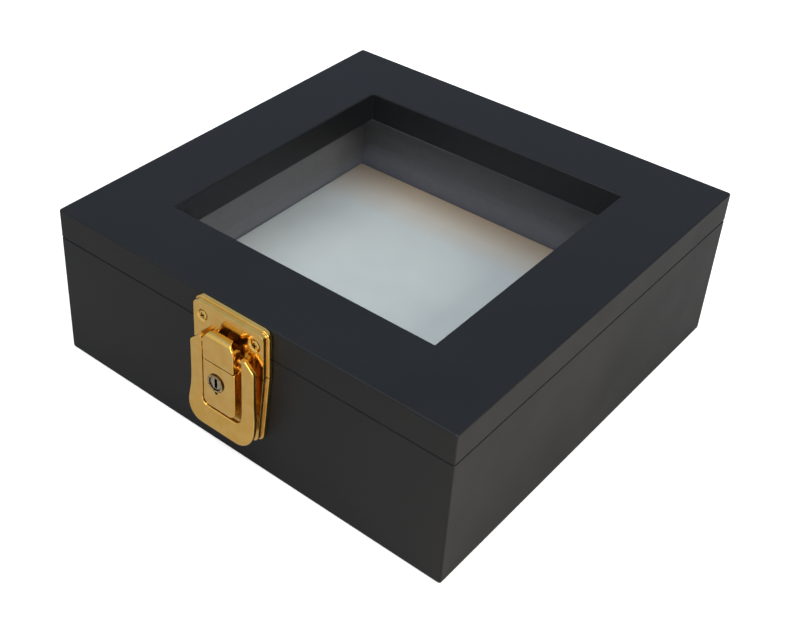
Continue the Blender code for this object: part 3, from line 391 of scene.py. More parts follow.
def link(first, first_radius, second, second_radius, steps=14):
    """The outline round two circles and their common tangents: the tangent points lie at
    heading +- acos((r1 - r2) / distance)."""
    run = second - first
    heading = math.atan2(run[1], run[0])
    lean = math.acos((first_radius - second_radius) / np.linalg.norm(run))
    return np.concatenate([
        arc(first, first_radius, heading + lean, heading + 2 * np.pi - lean, steps),
        arc(second, second_radius, heading - lean, heading + lean, steps)])


def shrink(outline, centre, inset):
    """An outline pulled straight towards a centre by inset."""
    return outline - unit(outline - centre) * inset


def lug(first, first_radius, second, second_radius, low, high, bore, limit):
    """A link-shaped lug between two values of x with a bore at its first centre, and no part of
    it beyond a reach: the rows run round the rim, over each face and back through the bore."""
    centre = np.array(first)
    outline = link(centre, first_radius, np.array(second), second_radius)
    outline[:, 0] = np.minimum(outline[:, 0], limit)
    inner = at_angles(outline, centre, bore)
    rims = [(0, low + LUG_EDGE), (0, high - LUG_EDGE), (0.3 * LUG_EDGE, high - 0.3 * LUG_EDGE),
            (LUG_EDGE, high)]
    rows = [from_side(shrink(outline, centre, inset), x) for inset, x in rims]
    rows += [from_side(inner, high), from_side(inner, low)]
    rows += [from_side(shrink(outline, centre, inset), low + high - x)
             for inset, x in rims[:1:-1]]
    return stack(rows, ends=False)


# %% [markdown]
# Holes, dishes and hinge seats are cut out afterwards, as they are on the real parts. The cut is
# applied at once, so the piece keeps only a plain mesh and its shading modifier.

# %% Cutting shapes out of a piece
def carve(piece, shells):
    """Cut closed shells out of a piece for good, through a Boolean on a passing object."""
    cutter = add_object("cutter", joined("cutter", shells))
    shading = piece.modifiers[0]
    shading.show_viewport = False
    change = piece.modifiers.new("cut", "BOOLEAN")
    change.operation, change.solver, change.object = "DIFFERENCE", "EXACT", cutter
    graph = bpy.context.evaluated_depsgraph_get()
    carved = bpy.data.meshes.new_from_object(piece.evaluated_get(graph))
    piece.modifiers.remove(change)
    shading.show_viewport = True
    piece.data = carved
    bpy.data.objects.remove(cutter, do_unlink=True)
    smooth(carved)


# %% [markdown]
# The two plates are pressings: a flat flange on the wood, a steep step and a raised middle. The
# step is what makes them look like sheet metal, because it mirrors the dark box and not the room.
# The side at the seam between them is cut nearly square, so it alone is hardly drawn in.

# %% Catch plate and base plate
FLANGE_FACE, PLATE_FACE = 2.1 * MM, 4.2 * MM
FLANGE_WIDTH = 0.9 * MM
FLANGE_EDGE, PLATE_EDGE = 0.4 * MM, 0.1 * MM
FILLET = np.array([(-0.20, 0.0), (-0.08, 0.05), (0.0, 0.20)]) * MM
STEP_LEAN = 0.02 * MM
WOOD_GAP = 0.3 * MM
SEAM_CUT = 0.2 * MM
TOP_SHARE, SEAM_SHARE = 0.85, 0.03
PLATE_HALF = cad_range("catch_plate", "x")[1]
BASE_BOTTOM_HALF = 15.8 * MM
CATCH_LOW, CATCH_HIGH = cad_range("catch_plate", "z")
BASE_LOW = cad_range("latch_base_plate", "z")[0]
BASE_HIGH = CATCH_LOW - 2 * SEAM_CUT


def plate(corners, radii, shares):
    """Rows of a pressed plate, from its back, over the flange and up the step to its face."""
    rows = [(0, WOOD_GAP)] + eased(0, FLANGE_FACE, FLANGE_EDGE)
    rows += [(FLANGE_WIDTH + inset, FLANGE_FACE + rise) for inset, rise in FILLET]
    rows += eased(FLANGE_WIDTH + STEP_LEAN, PLATE_FACE, PLATE_EDGE)
    return stack([from_front(drawn_in(corners, radii, inset, shares), reach)
                  for inset, reach in rows])


catch_shell = plate([(-PLATE_HALF, CATCH_LOW), (PLATE_HALF, CATCH_LOW),
                     (PLATE_HALF, CATCH_HIGH), (-PLATE_HALF, CATCH_HIGH)],
                    [SHARP, SHARP, 3.5 * MM, 3.5 * MM], (SEAM_SHARE, 1, TOP_SHARE, 1))
base_shell = plate([(-BASE_BOTTOM_HALF, BASE_LOW), (BASE_BOTTOM_HALF, BASE_LOW),
                    (PLATE_HALF, BASE_HIGH), (-PLATE_HALF, BASE_HIGH)],
                   [4.0 * MM, 4.0 * MM, SHARP, SHARP], (1, 1, SEAM_SHARE, 1))

# %% [markdown]
# The catch plate carries the staple, a bar with a slot pierced in its top that the hook holds. The
# base plate carries two ears, which the lever turns between. They could be joined to their plates
# by a Boolean. Because metal hides the joint, they only start inside the plate, as shells of the
# same piece.

# %% Staple and ears
ROOT = PLATE_FACE - 0.5 * MM
STAPLE_LOW, STAPLE_HIGH = 63.8 * MM, 67.0 * MM
STAPLE_HALF, STAPLE_REACH = 4.5 * MM, 5.8 * MM
STAPLE_CORNER, STAPLE_EDGE = 0.9 * MM, 0.35 * MM
STAPLE_FOOT = [(0.5 * MM, 0.0), (0.15 * MM, 0.15 * MM), (0.0, 0.5 * MM)]
SLOT_HALF, SLOT_BACK, SLOT_FRONT = 3.0 * MM, 4.25 * MM, 5.15 * MM
SLOT_CORNER, SLOT_RIM, SLOT_DEPTH = 0.2 * MM, 0.1 * MM, 2.4 * MM


def staple():
    """Rows run up outside the bar, round its top edge and down into its slot."""
    corners = [(-STAPLE_HALF, ROOT), (STAPLE_HALF, ROOT),
               (STAPLE_HALF, STAPLE_REACH), (-STAPLE_HALF, STAPLE_REACH)]
    radii = [SHARP, SHARP, STAPLE_CORNER, STAPLE_CORNER]
    levels = [(inset, STAPLE_LOW + rise) for inset, rise in STAPLE_FOOT]
    levels += eased(0, STAPLE_HIGH, STAPLE_EDGE)
    slot = rounded([(-SLOT_HALF, SLOT_BACK), (SLOT_HALF, SLOT_BACK),
                    (SLOT_HALF, SLOT_FRONT), (-SLOT_HALF, SLOT_FRONT)], SLOT_CORNER)
    rows = [from_above(drawn_in(corners, radii, inset), height) for inset, height in levels]
    rows += [from_above(slot, STAPLE_HIGH - depth) for depth in (SLOT_RIM, SLOT_DEPTH)]
    return stack(rows)


PIVOT = (7.2 * MM, 57.5 * MM)
HOOK_PIN = (6.9 * MM, 53.5 * MM)
BORE = 0.9 * MM
EAR_INNER, EAR_OUTER = 8.3 * MM, 9.9 * MM
EAR_HEAD = 1.8 * MM
EAR_FOOT, EAR_SHOULDER = BASE_HIGH - 7.0 * MM, BASE_HIGH - 3.5 * MM
EAR_BACK, EAR_FRONT = PLATE_FACE + 0.6 * MM, HOOK_PIN[0] - 1.1 * MM
NECK_TOP = PIVOT[1] - 1.6 * MM


def ear(low, high):
    """An ear from the side: foot, neck behind the hook's pin and head round the pivot."""
    head = arc(PIVOT, EAR_HEAD, math.radians(-100), math.radians(145), 19)
    outline = np.concatenate([
        [(ROOT, EAR_FOOT), (EAR_FRONT, EAR_SHOULDER), (EAR_FRONT, NECK_TOP)], head,
        [(EAR_BACK, NECK_TOP), (EAR_BACK, BASE_HIGH), (ROOT, BASE_HIGH)]])
    return stack([from_side(outline, low), from_side(outline, high)])


catch = add_piece("catch_plate_skin", [catch_shell, staple()], "lid", ["catch_plate"])
base = add_piece("base_plate_skin",
                 [base_shell, ear(-EAR_OUTER, -EAR_INNER), ear(EAR_INNER, EAR_OUTER)], "case",
                 ["latch_base_plate"])

# %% [markdown]
# The latch screws are oval-headed, with a cross recess, and each sits in a shallow dish that is
# pressed into its plate. A screw is turned, so it is a lathe profile from tip to crown. Its recess
# is one more row, a star-shaped curve: at each angle the radius is that of the larger of two
# crossed slots. The dish is cut out of the plate, because its circle crosses the plate's own rows.

# %% Screws in their dishes
DISH_RADIUS, DISH_DEPTH = 3.2 * MM, 0.62 * MM
DISH_SHOULDER = np.array([(0.35, 0.35), (0.0, 0.0), (-0.45, -0.22)]) * MM
HEAD_RADIUS, HEAD_CROWN = 1.95 * MM, 0.35 * MM
HEAD_SUNK, HEAD_RIM = 0.50 * MM, 0.06 * MM
HEAD_ROOM, SHANK_ROOM = 0.30 * MM, 0.2 * MM
CONE_DEPTH, CUT_BEYOND = 1.0 * MM, 1.0 * MM
SHANK_RADIUS, SCREW_LENGTH = 1.1 * MM, 12.2 * MM
CROSS_REACH, CROSS_HALF = 1.25 * MM, 0.30 * MM
CROSS_RIM, CROSS_DEPTH, CROSS_TAPER = 0.03 * MM, 0.85 * MM, 0.7
SCREW_POINTS = 56
TINY = 1e-6


def cross(angle):
    """Radius of a cross recess: max over two slots of min(b / |cos|, a / |sin|)."""
    slots = [np.minimum(CROSS_REACH / np.maximum(abs(c), TINY),
                        CROSS_HALF / np.maximum(abs(s), TINY))
             for c, s in ((np.cos(angle), np.sin(angle)), (np.sin(angle), np.cos(angle)))]
    return np.maximum(*slots)


def oval_screw(spot, tilt):
    """An oval-headed screw from its tip up: shank, countersunk cone, crown and cross recess."""
    rim = PLATE_FACE - HEAD_SUNK
    lathe = [(SHANK_RADIUS, PLATE_FACE - SCREW_LENGTH), (SHANK_RADIUS, rim - CONE_DEPTH),
             (HEAD_RADIUS, rim), (HEAD_RADIUS, rim + HEAD_RIM)]
    lathe += [(HEAD_RADIUS * math.cos(a), rim + HEAD_RIM + HEAD_CROWN * math.sin(a))
              for a in np.radians([15, 30, 45])]
    turn = np.array([[math.cos(tilt), math.sin(tilt)], [-math.sin(tilt), math.cos(tilt)]])
    star = ring(cross, SCREW_POINTS) @ turn
    top = rim + HEAD_RIM + HEAD_CROWN
    return stack([*turned(lathe, SCREW_POINTS, spot, tilt),
                  from_front(star + spot, top - CROSS_RIM),
                  from_front(star * CROSS_TAPER + spot, top - CROSS_DEPTH)])


def dish(spot):
    """The hollow that a screw head lies in: a shallow bowl with a hole for the cone."""
    hole = SHANK_RADIUS + SHANK_ROOM
    lathe = [(DISH_RADIUS + wider, PLATE_FACE + rise) for wider, rise in DISH_SHOULDER]
    lathe += [(HEAD_RADIUS + HEAD_ROOM, PLATE_FACE - DISH_DEPTH),
              (hole, PLATE_FACE - HEAD_SUNK - CONE_DEPTH), (hole, WOOD_GAP - CUT_BEYOND)]
    return stack(turned(lathe, SCREW_POINTS, spot))


latch_screws = []
for family, x, height, body, metal in (("catch_screw", 13.3 * MM, 65.5 * MM, "lid", catch),
                                       ("latch_base_screw", 9.5 * MM, 23.8 * MM, "case", base)):
    carve(metal, [dish((-x, height)), dish((x, height))])
    for side, spot, tilt in (("left", (-x, height), 0.5), ("right", (x, height), 0.15)):
        latch_screws.append(add_piece(f"{family}_head_{side}", [oval_screw(spot, tilt)], body,
                                      [f"{family}_{side}"]))

# %% [markdown]
# ### Lever
#
# The lever is a die-cast frame in the shape of a U, with a foot that leans out for a finger. An
# extruded outline would have a flat foot, so it is a ribbon instead. Its inner and outer edges are
# sampled in step, and the space between the two is filled by the same rounded section at every
# station. A smooth curve of height gives the foot its lean.

# %% Lever frame
LEVER_BACK, LEVER_SHEET, LEVER_EDGE = 6.2 * MM, 2.0 * MM, 0.5 * MM
LEVER_LOW, LEVER_HIGH = 18.5 * MM, 59.4 * MM
LEVER_HALF, LEVER_FOOT_HALF, LEVER_CORNER = 16.4 * MM, 17.2 * MM, 8.0 * MM
SLOPE_TOP, WAIST_TOP, WAIST_LOW = 55.2 * MM, 39.0 * MM, 27.0 * MM
LIP_REACH, LIP_START, LIP_BLEND = 2.4 * MM, 13.5 * MM, 1.2 * MM
WINDOW_HALF, WINDOW_LOW, WINDOW_CORNER = 10.2 * MM, 27.2 * MM, 3.0 * MM
PER_CORNER = 11
ARM_STATIONS, CORNER_STATIONS, FOOT_STATIONS = 44, 14, 12


def lip(height):
    """How far the foot leans out: linear below the bend, blended over the bend by a softplus."""
    rise = (LEVER_LOW + LIP_START - height) / LIP_BLEND
    return LIP_REACH * np.log1p(np.exp(rise)) * LIP_BLEND / LIP_START


def evenly(points, count):
    """A polyline resampled at equal steps of its length."""
    length = np.concatenate([[0], np.cumsum(np.linalg.norm(np.diff(points, axis=0), axis=1))])
    along = np.linspace(0, length[-1], count)
    return np.column_stack([np.interp(along, length, column) for column in points.T])


def lever_edges():
    """Right half of the outer and inner edges, station by station, top to bottom middle."""
    outline = rounded([(WINDOW_HALF + 1.8 * MM, LEVER_HIGH), (LEVER_HALF, SLOPE_TOP),
                       (LEVER_HALF, WAIST_TOP), (LEVER_FOOT_HALF, WAIST_LOW),
                       (LEVER_FOOT_HALF, LEVER_LOW), (0, LEVER_LOW), (0, LEVER_HIGH)],
                      [0.6 * MM, 1.2 * MM, 12 * MM, 12 * MM, LEVER_CORNER, SHARP, SHARP],
                      PER_CORNER - 1)
    bend_start, bend_end = 4 * PER_CORNER, 5 * PER_CORNER - 1
    arm = evenly(outline[PER_CORNER // 2:bend_start + 1], ARM_STATIONS)
    bend = evenly(outline[bend_start:bend_end + 1], CORNER_STATIONS)
    foot = evenly(np.array([outline[bend_end], (0, LEVER_LOW)]), FOOT_STATIONS)
    outer = np.concatenate([arm, bend[1:], foot[1:]])
    top, window_bend = arm[0, 1], WINDOW_LOW + WINDOW_CORNER
    share = (top - arm[:, 1]) / (top - arm[-1, 1])
    arm = np.column_stack([np.full(ARM_STATIONS, WINDOW_HALF), top + share * (window_bend - top)])
    bend = arc((WINDOW_HALF - WINDOW_CORNER, window_bend), WINDOW_CORNER, 0, -np.pi / 2,
               CORNER_STATIONS)
    foot = np.column_stack([np.linspace(bend[-1, 0], 0, FOOT_STATIONS),
                            np.full(FOOT_STATIONS, WINDOW_LOW)])
    return outer, np.concatenate([arm, bend[1:], foot[1:]])


def lever_shell():
    """The whole U: the right half and its mirror image, with the section at each station."""
    outer, inner = (np.concatenate([edge, (edge * (-1, 1))[-2::-1]]) for edge in lever_edges())
    rows = []
    for far, near in zip(outer, inner):
        width = np.linalg.norm(far - near)
        section = rounded([(0, 0), (width, 0), (width, LEVER_SHEET), (0, LEVER_SHEET)],
                          LEVER_EDGE, 5)
        flat = near + (far - near) / width * section[:, :1]
        rows.append(np.column_stack([flat[:, 0],
                                     -HALF - LEVER_BACK - section[:, 1] - lip(flat[:, 1]),
                                     flat[:, 1]]))
    return stack(rows)


LEVER_LUG, LEVER_LUG_LIMIT = 2.1 * MM, 8.15 * MM
LEVER_LUG_INNER, LEVER_LUG_OUTER = 10.5 * MM, 12.1 * MM
lever_lugs = [lug(PIVOT, LEVER_LUG, HOOK_PIN, LEVER_LUG, low, high, BORE, LEVER_LUG_LIMIT)
              for low, high in ((-LEVER_LUG_OUTER, -LEVER_LUG_INNER),
                                (LEVER_LUG_INNER, LEVER_LUG_OUTER))]
lever = add_piece("lever_skin", [lever_shell(), *lever_lugs], "lever", ["latch_lever"])

# %% [markdown]
# ### Hook
#
# The hook is bent from strip: it runs up its face, over one bend and back to the staple. A box
# with a bevel would keep one width, and the real strip narrows in steps. So at each station the
# strip has its own half-width, and its thickness lies along the inward normal. Behind it, a cheek
# at each side closes the gap to the plate, and a lug holds the pin.

# %% Draw hook
HOOK_REACH, HOOK_SHEET, HOOK_EDGE = 10.0 * MM, 1.6 * MM, 0.42 * MM
HOOK_LOW, HOOK_HIGH = 51.8 * MM, 64.5 * MM
HOOK_TIP, HOOK_BEND = 6.2 * MM, 2.2 * MM
SHOULDER = 61.8 * MM
FACE_STATIONS, BEND_STATIONS, FLANGE_STATIONS = 26, 12, 8
LOW_END = [(0.0, 0.10 * MM), (0.04 * MM, 0.03 * MM), (0.12 * MM, 0.0)]
TIP_END = [(0.3 * MM, 0.0), (0.12 * MM, 0.08 * MM), (0.0, 0.3 * MM)]


def hook_section(spot, normal, half, inset):
    """The strip's section: its width lies along x and its thickness along the inward normal."""
    section = drawn_in([(-half, 0), (half, 0), (half, HOOK_SHEET), (-half, HOOK_SHEET)],
                       HOOK_EDGE, inset, steps=5)
    flat = spot + normal * section[:, 1:]
    return np.column_stack([section[:, 0], -HALF - flat[:, 0], flat[:, 1]])


def hook_shell():
    """Stations up the face, round the bend and along the flange, with end rows drawn in."""
    centre = np.array([HOOK_REACH - HOOK_BEND, HOOK_HIGH - HOOK_BEND])
    face = np.column_stack([np.full(FACE_STATIONS, HOOK_REACH),
                            np.linspace(HOOK_LOW, centre[1], FACE_STATIONS)])
    bend = arc(centre, HOOK_BEND, 0, np.pi / 2, BEND_STATIONS)
    flange = np.column_stack([np.linspace(centre[0], HOOK_TIP, FLANGE_STATIONS),
                              np.full(FLANGE_STATIONS, HOOK_HIGH)])
    path = np.concatenate([face[:-1], bend, flange[1:]])
    inward = np.concatenate([np.tile([-1.0, 0], (FACE_STATIONS - 1, 1)), unit(centre - bend),
                             np.tile([0, -1.0], (FLANGE_STATIONS - 1, 1))])
    run = np.concatenate([[0], np.cumsum(np.linalg.norm(np.diff(path, axis=0), axis=1))])
    shoulder = SHOULDER - HOOK_LOW
    half = np.interp(run, [0, shoulder - 0.6 * MM, shoulder + 0.2 * MM, shoulder + 1.3 * MM,
                           run[-1] - 1.6 * MM, run[-1]],
                     np.array([7.9, 7.9, 7.6, 6.7, 5.6, 4.8]) * MM)
    rows = [hook_section(path[0] + (0, rise), inward[0], half[0], inset)
            for rise, inset in LOW_END]
    rows += [hook_section(*station, 0.0)
             for station in zip(path[1:-1], inward[1:-1], half[1:-1])]
    rows += [hook_section(path[-1] + (short, 0), inward[-1], half[-1], inset)
             for short, inset in TIP_END]
    return stack(rows)


CHEEK_INNER, CHEEK_OUTER = 6.2 * MM, 7.6 * MM
CHEEK_BACK, CHEEK_FRONT, CHEEK_LOW, CHEEK_HIGH = 5.2 * MM, 8.8 * MM, 55.2 * MM, 61.2 * MM
CHEEK_CORNER, CHEEK_EDGE = 1.2 * MM, 0.2 * MM
HOOK_LUG, HOOK_LUG_END, HOOK_LUG_LIMIT = 1.6 * MM, 0.8 * MM, 9.2 * MM
HOOK_LUG_TOP = (8.4 * MM, 54.3 * MM)


def cheek(low, high):
    """A side cheek between two values of x, with its edges drawn in a little at both faces."""
    corners = [(CHEEK_BACK, CHEEK_LOW), (CHEEK_FRONT, CHEEK_LOW), (CHEEK_FRONT, CHEEK_HIGH),
               (CHEEK_BACK, CHEEK_HIGH)]
    radii = [CHEEK_CORNER, SHARP, SHARP, CHEEK_CORNER]
    return stack([from_side(drawn_in(corners, radii, inset), x)
                  for inset, x in ((CHEEK_EDGE, low), (0, low + CHEEK_EDGE),
                                   (0, high - CHEEK_EDGE), (CHEEK_EDGE, high))])


sides = ((-CHEEK_OUTER, -CHEEK_INNER), (CHEEK_INNER, CHEEK_OUTER))
hook_lugs = [lug(HOOK_PIN, HOOK_LUG, HOOK_LUG_TOP, HOOK_LUG_END, low, high, BORE, HOOK_LUG_LIMIT)
             for low, high in sides]
hook = add_piece("hook_skin", [hook_shell(), *hook_lugs, *(cheek(*side) for side in sides)],
                 "hook", ["draw_hook"])

# %% [markdown]
# ### Lock
#
# The housing is a die-cast block with soft edges. Its face has a round well, and the turned
# cylinder stands just proud in it. The plug inside has a keyway, and the key turns the plug. A
# small round hole sits below them, as in the photograph.

# %% Lock housing
LOCK = np.array([sum(cad_range("key_plug", axis)) / 2 for axis in "xz"])
CYLINDER_RADIUS = np.ptp(cad_range("lock_cylinder", "x")) / 2
PLUG_RADIUS = np.ptp(cad_range("key_plug", "x")) / 2
CYLINDER_LIFT = 0.4 * MM
HOUSING_FACE, HOUSING_BACK = (-HALF - y for y in cad_range("lock_housing", "y"))
POCKET_FLOOR = HOUSING_BACK + 2.1 * MM
POCKET_WALL = 1.3 * MM
BACK_EDGE, FACE_EDGE = 0.4 * MM, 0.6 * MM
WELL_ROOM = 0.2 * MM
WELL_RIM = [(0.45 * MM, 0.0), (0.25 * MM, 0.07 * MM), (WELL_ROOM, 0.3 * MM)]
HOLE_RADIUS = 0.75 * MM
HOLE_SPOT = (LOCK[0], LOCK[1] - 5.0 * MM)
HOLE_ENDS = (HOUSING_FACE + 0.5 * MM, HOUSING_FACE - 1.6 * MM)


def housing_shell():
    """Rows out of the pocket behind, over the back, up the sides, across the face and down the
    well for the cylinder, which opens into the pocket."""
    half = cad_range("lock_housing", "x")[1]
    low, high = cad_range("lock_housing", "z")
    block = [(-half, low), (half, low), (half, high), (-half, high)]
    radii = [3.0 * MM, 3.0 * MM, 0.5 * MM, 0.5 * MM]
    soft = (1, 1, 0.2, 1)
    pocket = drawn_in(block, radii, POCKET_WALL)
    face = drawn_in(block, radii, FACE_EDGE, soft)
    rows = [(pocket, POCKET_FLOOR), (pocket, HOUSING_BACK),
            (drawn_in(block, radii, BACK_EDGE), HOUSING_BACK),
            (drawn_in(block, radii, 0), HOUSING_BACK + BACK_EDGE)]
    rows += [(drawn_in(block, radii, inset, soft), reach)
             for inset, reach in eased(0, HOUSING_FACE, FACE_EDGE, 5)]
    rows += [(at_angles(face, LOCK, CYLINDER_RADIUS + wider), HOUSING_FACE - depth)
             for wider, depth in WELL_RIM]
    rows += [(at_angles(face, LOCK, CYLINDER_RADIUS + WELL_ROOM), POCKET_FLOOR)]
    return stack([from_front(outline, reach) for outline, reach in rows], ends=False)


housing = add_piece("housing_skin", [housing_shell()], "case", ["lock_housing"])
carve(housing, [stack(turned([(HOLE_RADIUS, reach) for reach in HOLE_ENDS], 24, HOLE_SPOT))])

# %% [markdown]
# The cylinder is a turned sleeve with a chamfer outside and a smaller one at its bore. The keyway
# is a narrow slot with a wider round middle, and its rim is broken so that a key finds its way.

# %% Cylinder and plug
LOCK_POINTS = 64
PLUG_ROOM = 0.2 * MM
CHAMFER = [(0.0, 0.30 * MM), (0.09 * MM, 0.09 * MM), (0.30 * MM, 0.0)]
BORE_CHAMFER = [(0.30 * MM, 0.02 * MM), (0.08 * MM, 0.10 * MM), (0.0, 0.30 * MM)]
PLUG_CHAMFER = [(0.0, 0.25 * MM), (0.08 * MM, 0.07 * MM), (0.25 * MM, 0.0)]
KEYWAY_HALF, KEYWAY_REACH, KEYWAY_EYE = 0.70 * MM, 2.35 * MM, 0.85 * MM
KEYWAY_ROWS = [(1.12, 0.18 * MM), (1.0, 0.30 * MM), (1.0, 2.4 * MM)]


def cylinder_shell():
    """A turned sleeve: outside, chamfered face and the bore round the plug."""
    front, back = (-HALF - y for y in cad_range("lock_cylinder", "y"))
    front += CYLINDER_LIFT
    bore = PLUG_RADIUS + PLUG_ROOM
    lathe = [(CYLINDER_RADIUS, back)]
    lathe += [(CYLINDER_RADIUS - narrower, front - depth) for narrower, depth in CHAMFER]
    lathe += [(bore + wider, front - depth) for wider, depth in BORE_CHAMFER] + [(bore, back)]
    return stack(turned(lathe, LOCK_POINTS, LOCK), ends=False)


def keyway(angle):
    """Radius of the keyway's outline: max of the eye and min(a / |sin|, b / |cos|)."""
    slot = np.minimum(KEYWAY_REACH / np.maximum(abs(np.sin(angle)), TINY),
                      KEYWAY_HALF / np.maximum(abs(np.cos(angle)), TINY))
    return np.maximum(slot, KEYWAY_EYE)


def plug_shell():
    """The plug from its back, over a small chamfer and a flat face, into the keyway."""
    front, back = (-HALF - y for y in cad_range("key_plug", "y"))
    front += CYLINDER_LIFT
    lathe = [(PLUG_RADIUS, back)]
    lathe += [(PLUG_RADIUS - narrower, front - depth) for narrower, depth in PLUG_CHAMFER]
    slot = ring(keyway, LOCK_POINTS)
    return stack([*turned(lathe, LOCK_POINTS, LOCK),
                  *(from_front(slot * wider + LOCK, front - depth)
                    for wider, depth in KEYWAY_ROWS)])


cylinder = add_piece("cylinder_skin", [cylinder_shell()], "case", ["lock_cylinder"])
plug = add_piece("plug_skin", [plug_shell()], "plug", ["key_plug"])

# %% [markdown]
# ## Hinge mortises
#
# The leaves lie flush in the two edges that meet at the seam. As on the real box, their seats are
# cut into the finished case and lid, each a third of a millimetre larger than its leaf. Building
# the seats into the frame's profile would have put them all the way round.

# %% Mortises for the hinge leaves
LEAF_DEPTH = 1.0 * MM
BEYOND = 2.0 * MM
for wood, level, face, up in ((case, "base", CASE_TOP, -1), (lid, "lid", LID_BOTTOM, 1)):
    seats = []
    for side in ("left", "right"):
        left, right = cad_range(f"hinge_{level}_leaf_{side}", "x")
        left, right = left - FIT, right + FIT
        front, back = cad_range(f"hinge_{level}_leaf_{side}", "y")[0] - FIT, HALF + BEYOND
        plan = np.array([(left, front), (right, front), (right, back), (left, back)])
        seats.append(stack([np.column_stack([plan, np.full(4, height)]) for height in
                            (face - up * BEYOND, face + up * (LEAF_DEPTH + FIT))]))
    carve(wood, seats)
    print(level, "leaves let in, faces now", len(wood.data.polygons))

# %% [markdown]
# ## Materials
#
# Colours are written as the sRGB hex values that a colour picker gives, and one function turns
# them to the linear values that the renderer works in. One more function adds a node with its
# settings and its inputs, where an input is a value, a socket or a whole node. Patterns could be
# painted images, but noise on Object coordinates needs no unwrapping, keeps its size in
# millimetres and stays with its piece.

# %% Colour and node helpers
COLOURS = {"data_type": "RGBA"}


def linear(code, alpha=1.0):
    """An sRGB hex colour as linear RGBA: v / 12.92 below 0.04045, else
    ((v + 0.055) / 1.055) ** 2.4."""
    value = np.array([int(code[k:k + 2], 16) for k in (1, 3, 5)]) / 255
    value = np.where(value <= 0.04045, value / 12.92, ((value + 0.055) / 1.055) ** 2.4)
    return (*value.tolist(), alpha)


def add_node(tree, kind, settings=None, **inputs):
    """A shader node. An input's name has underscores for spaces, or is _ and a number, as _6 and
    _7 for a Mix node's two colours. Of a node given as an input, the first live output is used."""
    made = tree.nodes.new("ShaderNode" + kind)
    for name, value in (settings or {}).items():
        setattr(made, name, value)
    for name, value in inputs.items():
        key = int(name[1:]) if name[1:].isdigit() else name.replace("_", " ")
        if isinstance(value, bpy.types.Node):
            value = next(socket for socket in value.outputs if socket.enabled)
        if isinstance(value, bpy.types.NodeSocket):
            tree.links.new(value, made.inputs[key])
        else:
            made.inputs[key].default_value = value
    return made


def new_material(name):
    """An empty material, its tree, and the Object coordinates in it."""
    made = bpy.data.materials.new(name)
    made.use_nodes = True
    tree = made.node_tree
    tree.nodes.clear()
    return made, tree, add_node(tree, "TexCoord").outputs["Object"]


def per_metre(millimetres):
    """A texture's Scale for a feature of this size: cells in one metre."""
    return 1000 / millimetres


# %% [markdown]
# ## Satin lacquer over fibreboard
#
# The box is sprayed MDF: the lacquer is a clear resin with black pigment and a matting agent, so
# it mirrors softly and shows a faint orange peel of about a millimetre and a half. The peel could
# be modelled, but it is far flatter than it is wide, so a bump is enough. Broad, slow changes of
# gloss come from rubbing down and from handling.

# %% Satin-lacquered MDF
PEEL_MM, HANDLING_MM, DUST_MM = 1.6, 38, 0.35

lacquer, tree, place = new_material("satin-lacquered MDF")
peel = add_node(tree, "TexNoise", Vector=place, Scale=per_metre(PEEL_MM), Detail=2.0)
handling = add_node(tree, "TexNoise", Vector=place, Scale=per_metre(HANDLING_MM), Detail=3.0)
dust = add_node(tree, "TexNoise", Vector=place, Scale=per_metre(DUST_MM), Detail=1.0)
share = add_node(tree, "MapRange", Value=handling, From_Min=0.3, From_Max=0.7)
colour = add_node(tree, "Mix", COLOURS, Factor=share, _6=linear("#0F1012"), _7=linear("#141517"))
specks = add_node(tree, "MapRange", Value=dust, From_Min=0.72, From_Max=0.80, To_Max=0.25)
colour = add_node(tree, "Mix", COLOURS, Factor=specks, _6=colour, _7=linear("#5A5D60"))
gloss = add_node(tree, "MapRange", Value=handling, From_Min=0.3, From_Max=0.7, To_Min=0.40,
                 To_Max=0.50)
relief = add_node(tree, "Bump", Strength=0.35, Distance=0.03 * MM, Height=peel)
shader = add_node(tree, "BsdfPrincipled", Base_Color=colour, Roughness=gloss, IOR=1.34,
                  Normal=relief)
add_node(tree, "OutputMaterial", Surface=shader)
for piece in (case, lid):
    piece.data.materials.append(lacquer)

# %% [markdown]
# Inside the case, and on the beads under the pane, the walls take a matt dark grey, which the white
# card lights up. The grey is a painted reflection: it stands in for the pane mirroring the room
# over black walls. The inside could be a piece of its own, but it is the same walls, so the faces
# in there simply take a second material.

# %% Matt grey inside the case, a painted reflection
MOTTLE_MM = 3.0

pane_reflection_grey, tree, place = new_material("matt grey, painted pane reflection")
mottle = add_node(tree, "TexNoise", Vector=place, Scale=per_metre(MOTTLE_MM), Detail=3.0)
colour = add_node(tree, "Mix", COLOURS, Factor=mottle, _6=linear("#6D6C70"), _7=linear("#78777B"))
relief = add_node(tree, "Bump", Strength=0.3, Distance=0.04 * MM, Height=mottle)
shader = add_node(tree, "BsdfPrincipled", Base_Color=colour, Roughness=0.85, IOR=1.30,
                  Normal=relief)
add_node(tree, "OutputMaterial", Surface=shader)
for piece in (case, bead):
    piece.data.materials.append(pane_reflection_grey)
centres = np.empty(len(case.data.polygons) * 3)
case.data.polygons.foreach_get("center", centres)
centres = centres.reshape(-1, 3)
inside = ((np.abs(centres[:, :2]).max(axis=1) < INNER + CRISP_EDGE)
          & (centres[:, 2] < CASE_TOP - PAINTED_EDGE))
case.data.polygons.foreach_set("material_index", inside.astype(np.int32))
print("undercoat on %d of %d faces" % (inside.sum(), len(inside)))

# %% [markdown]
# ## Brass-plated zinc
#
# The latch is cast and pressed zinc alloy, polished and flash plated with brass. Plating this thin
# follows the polish, so the surface is nearly a mirror with a little haze, faint cloudiness where
# it was buffed, and hairline ripple in its reflections. A clear lacquer keeps it from tarnishing,
# and a coat on the metal gives that second, sharper and colourless gloss.

# %% Brass plate
CLOUD_MM, RIPPLE_MM = 4.0, 1.1

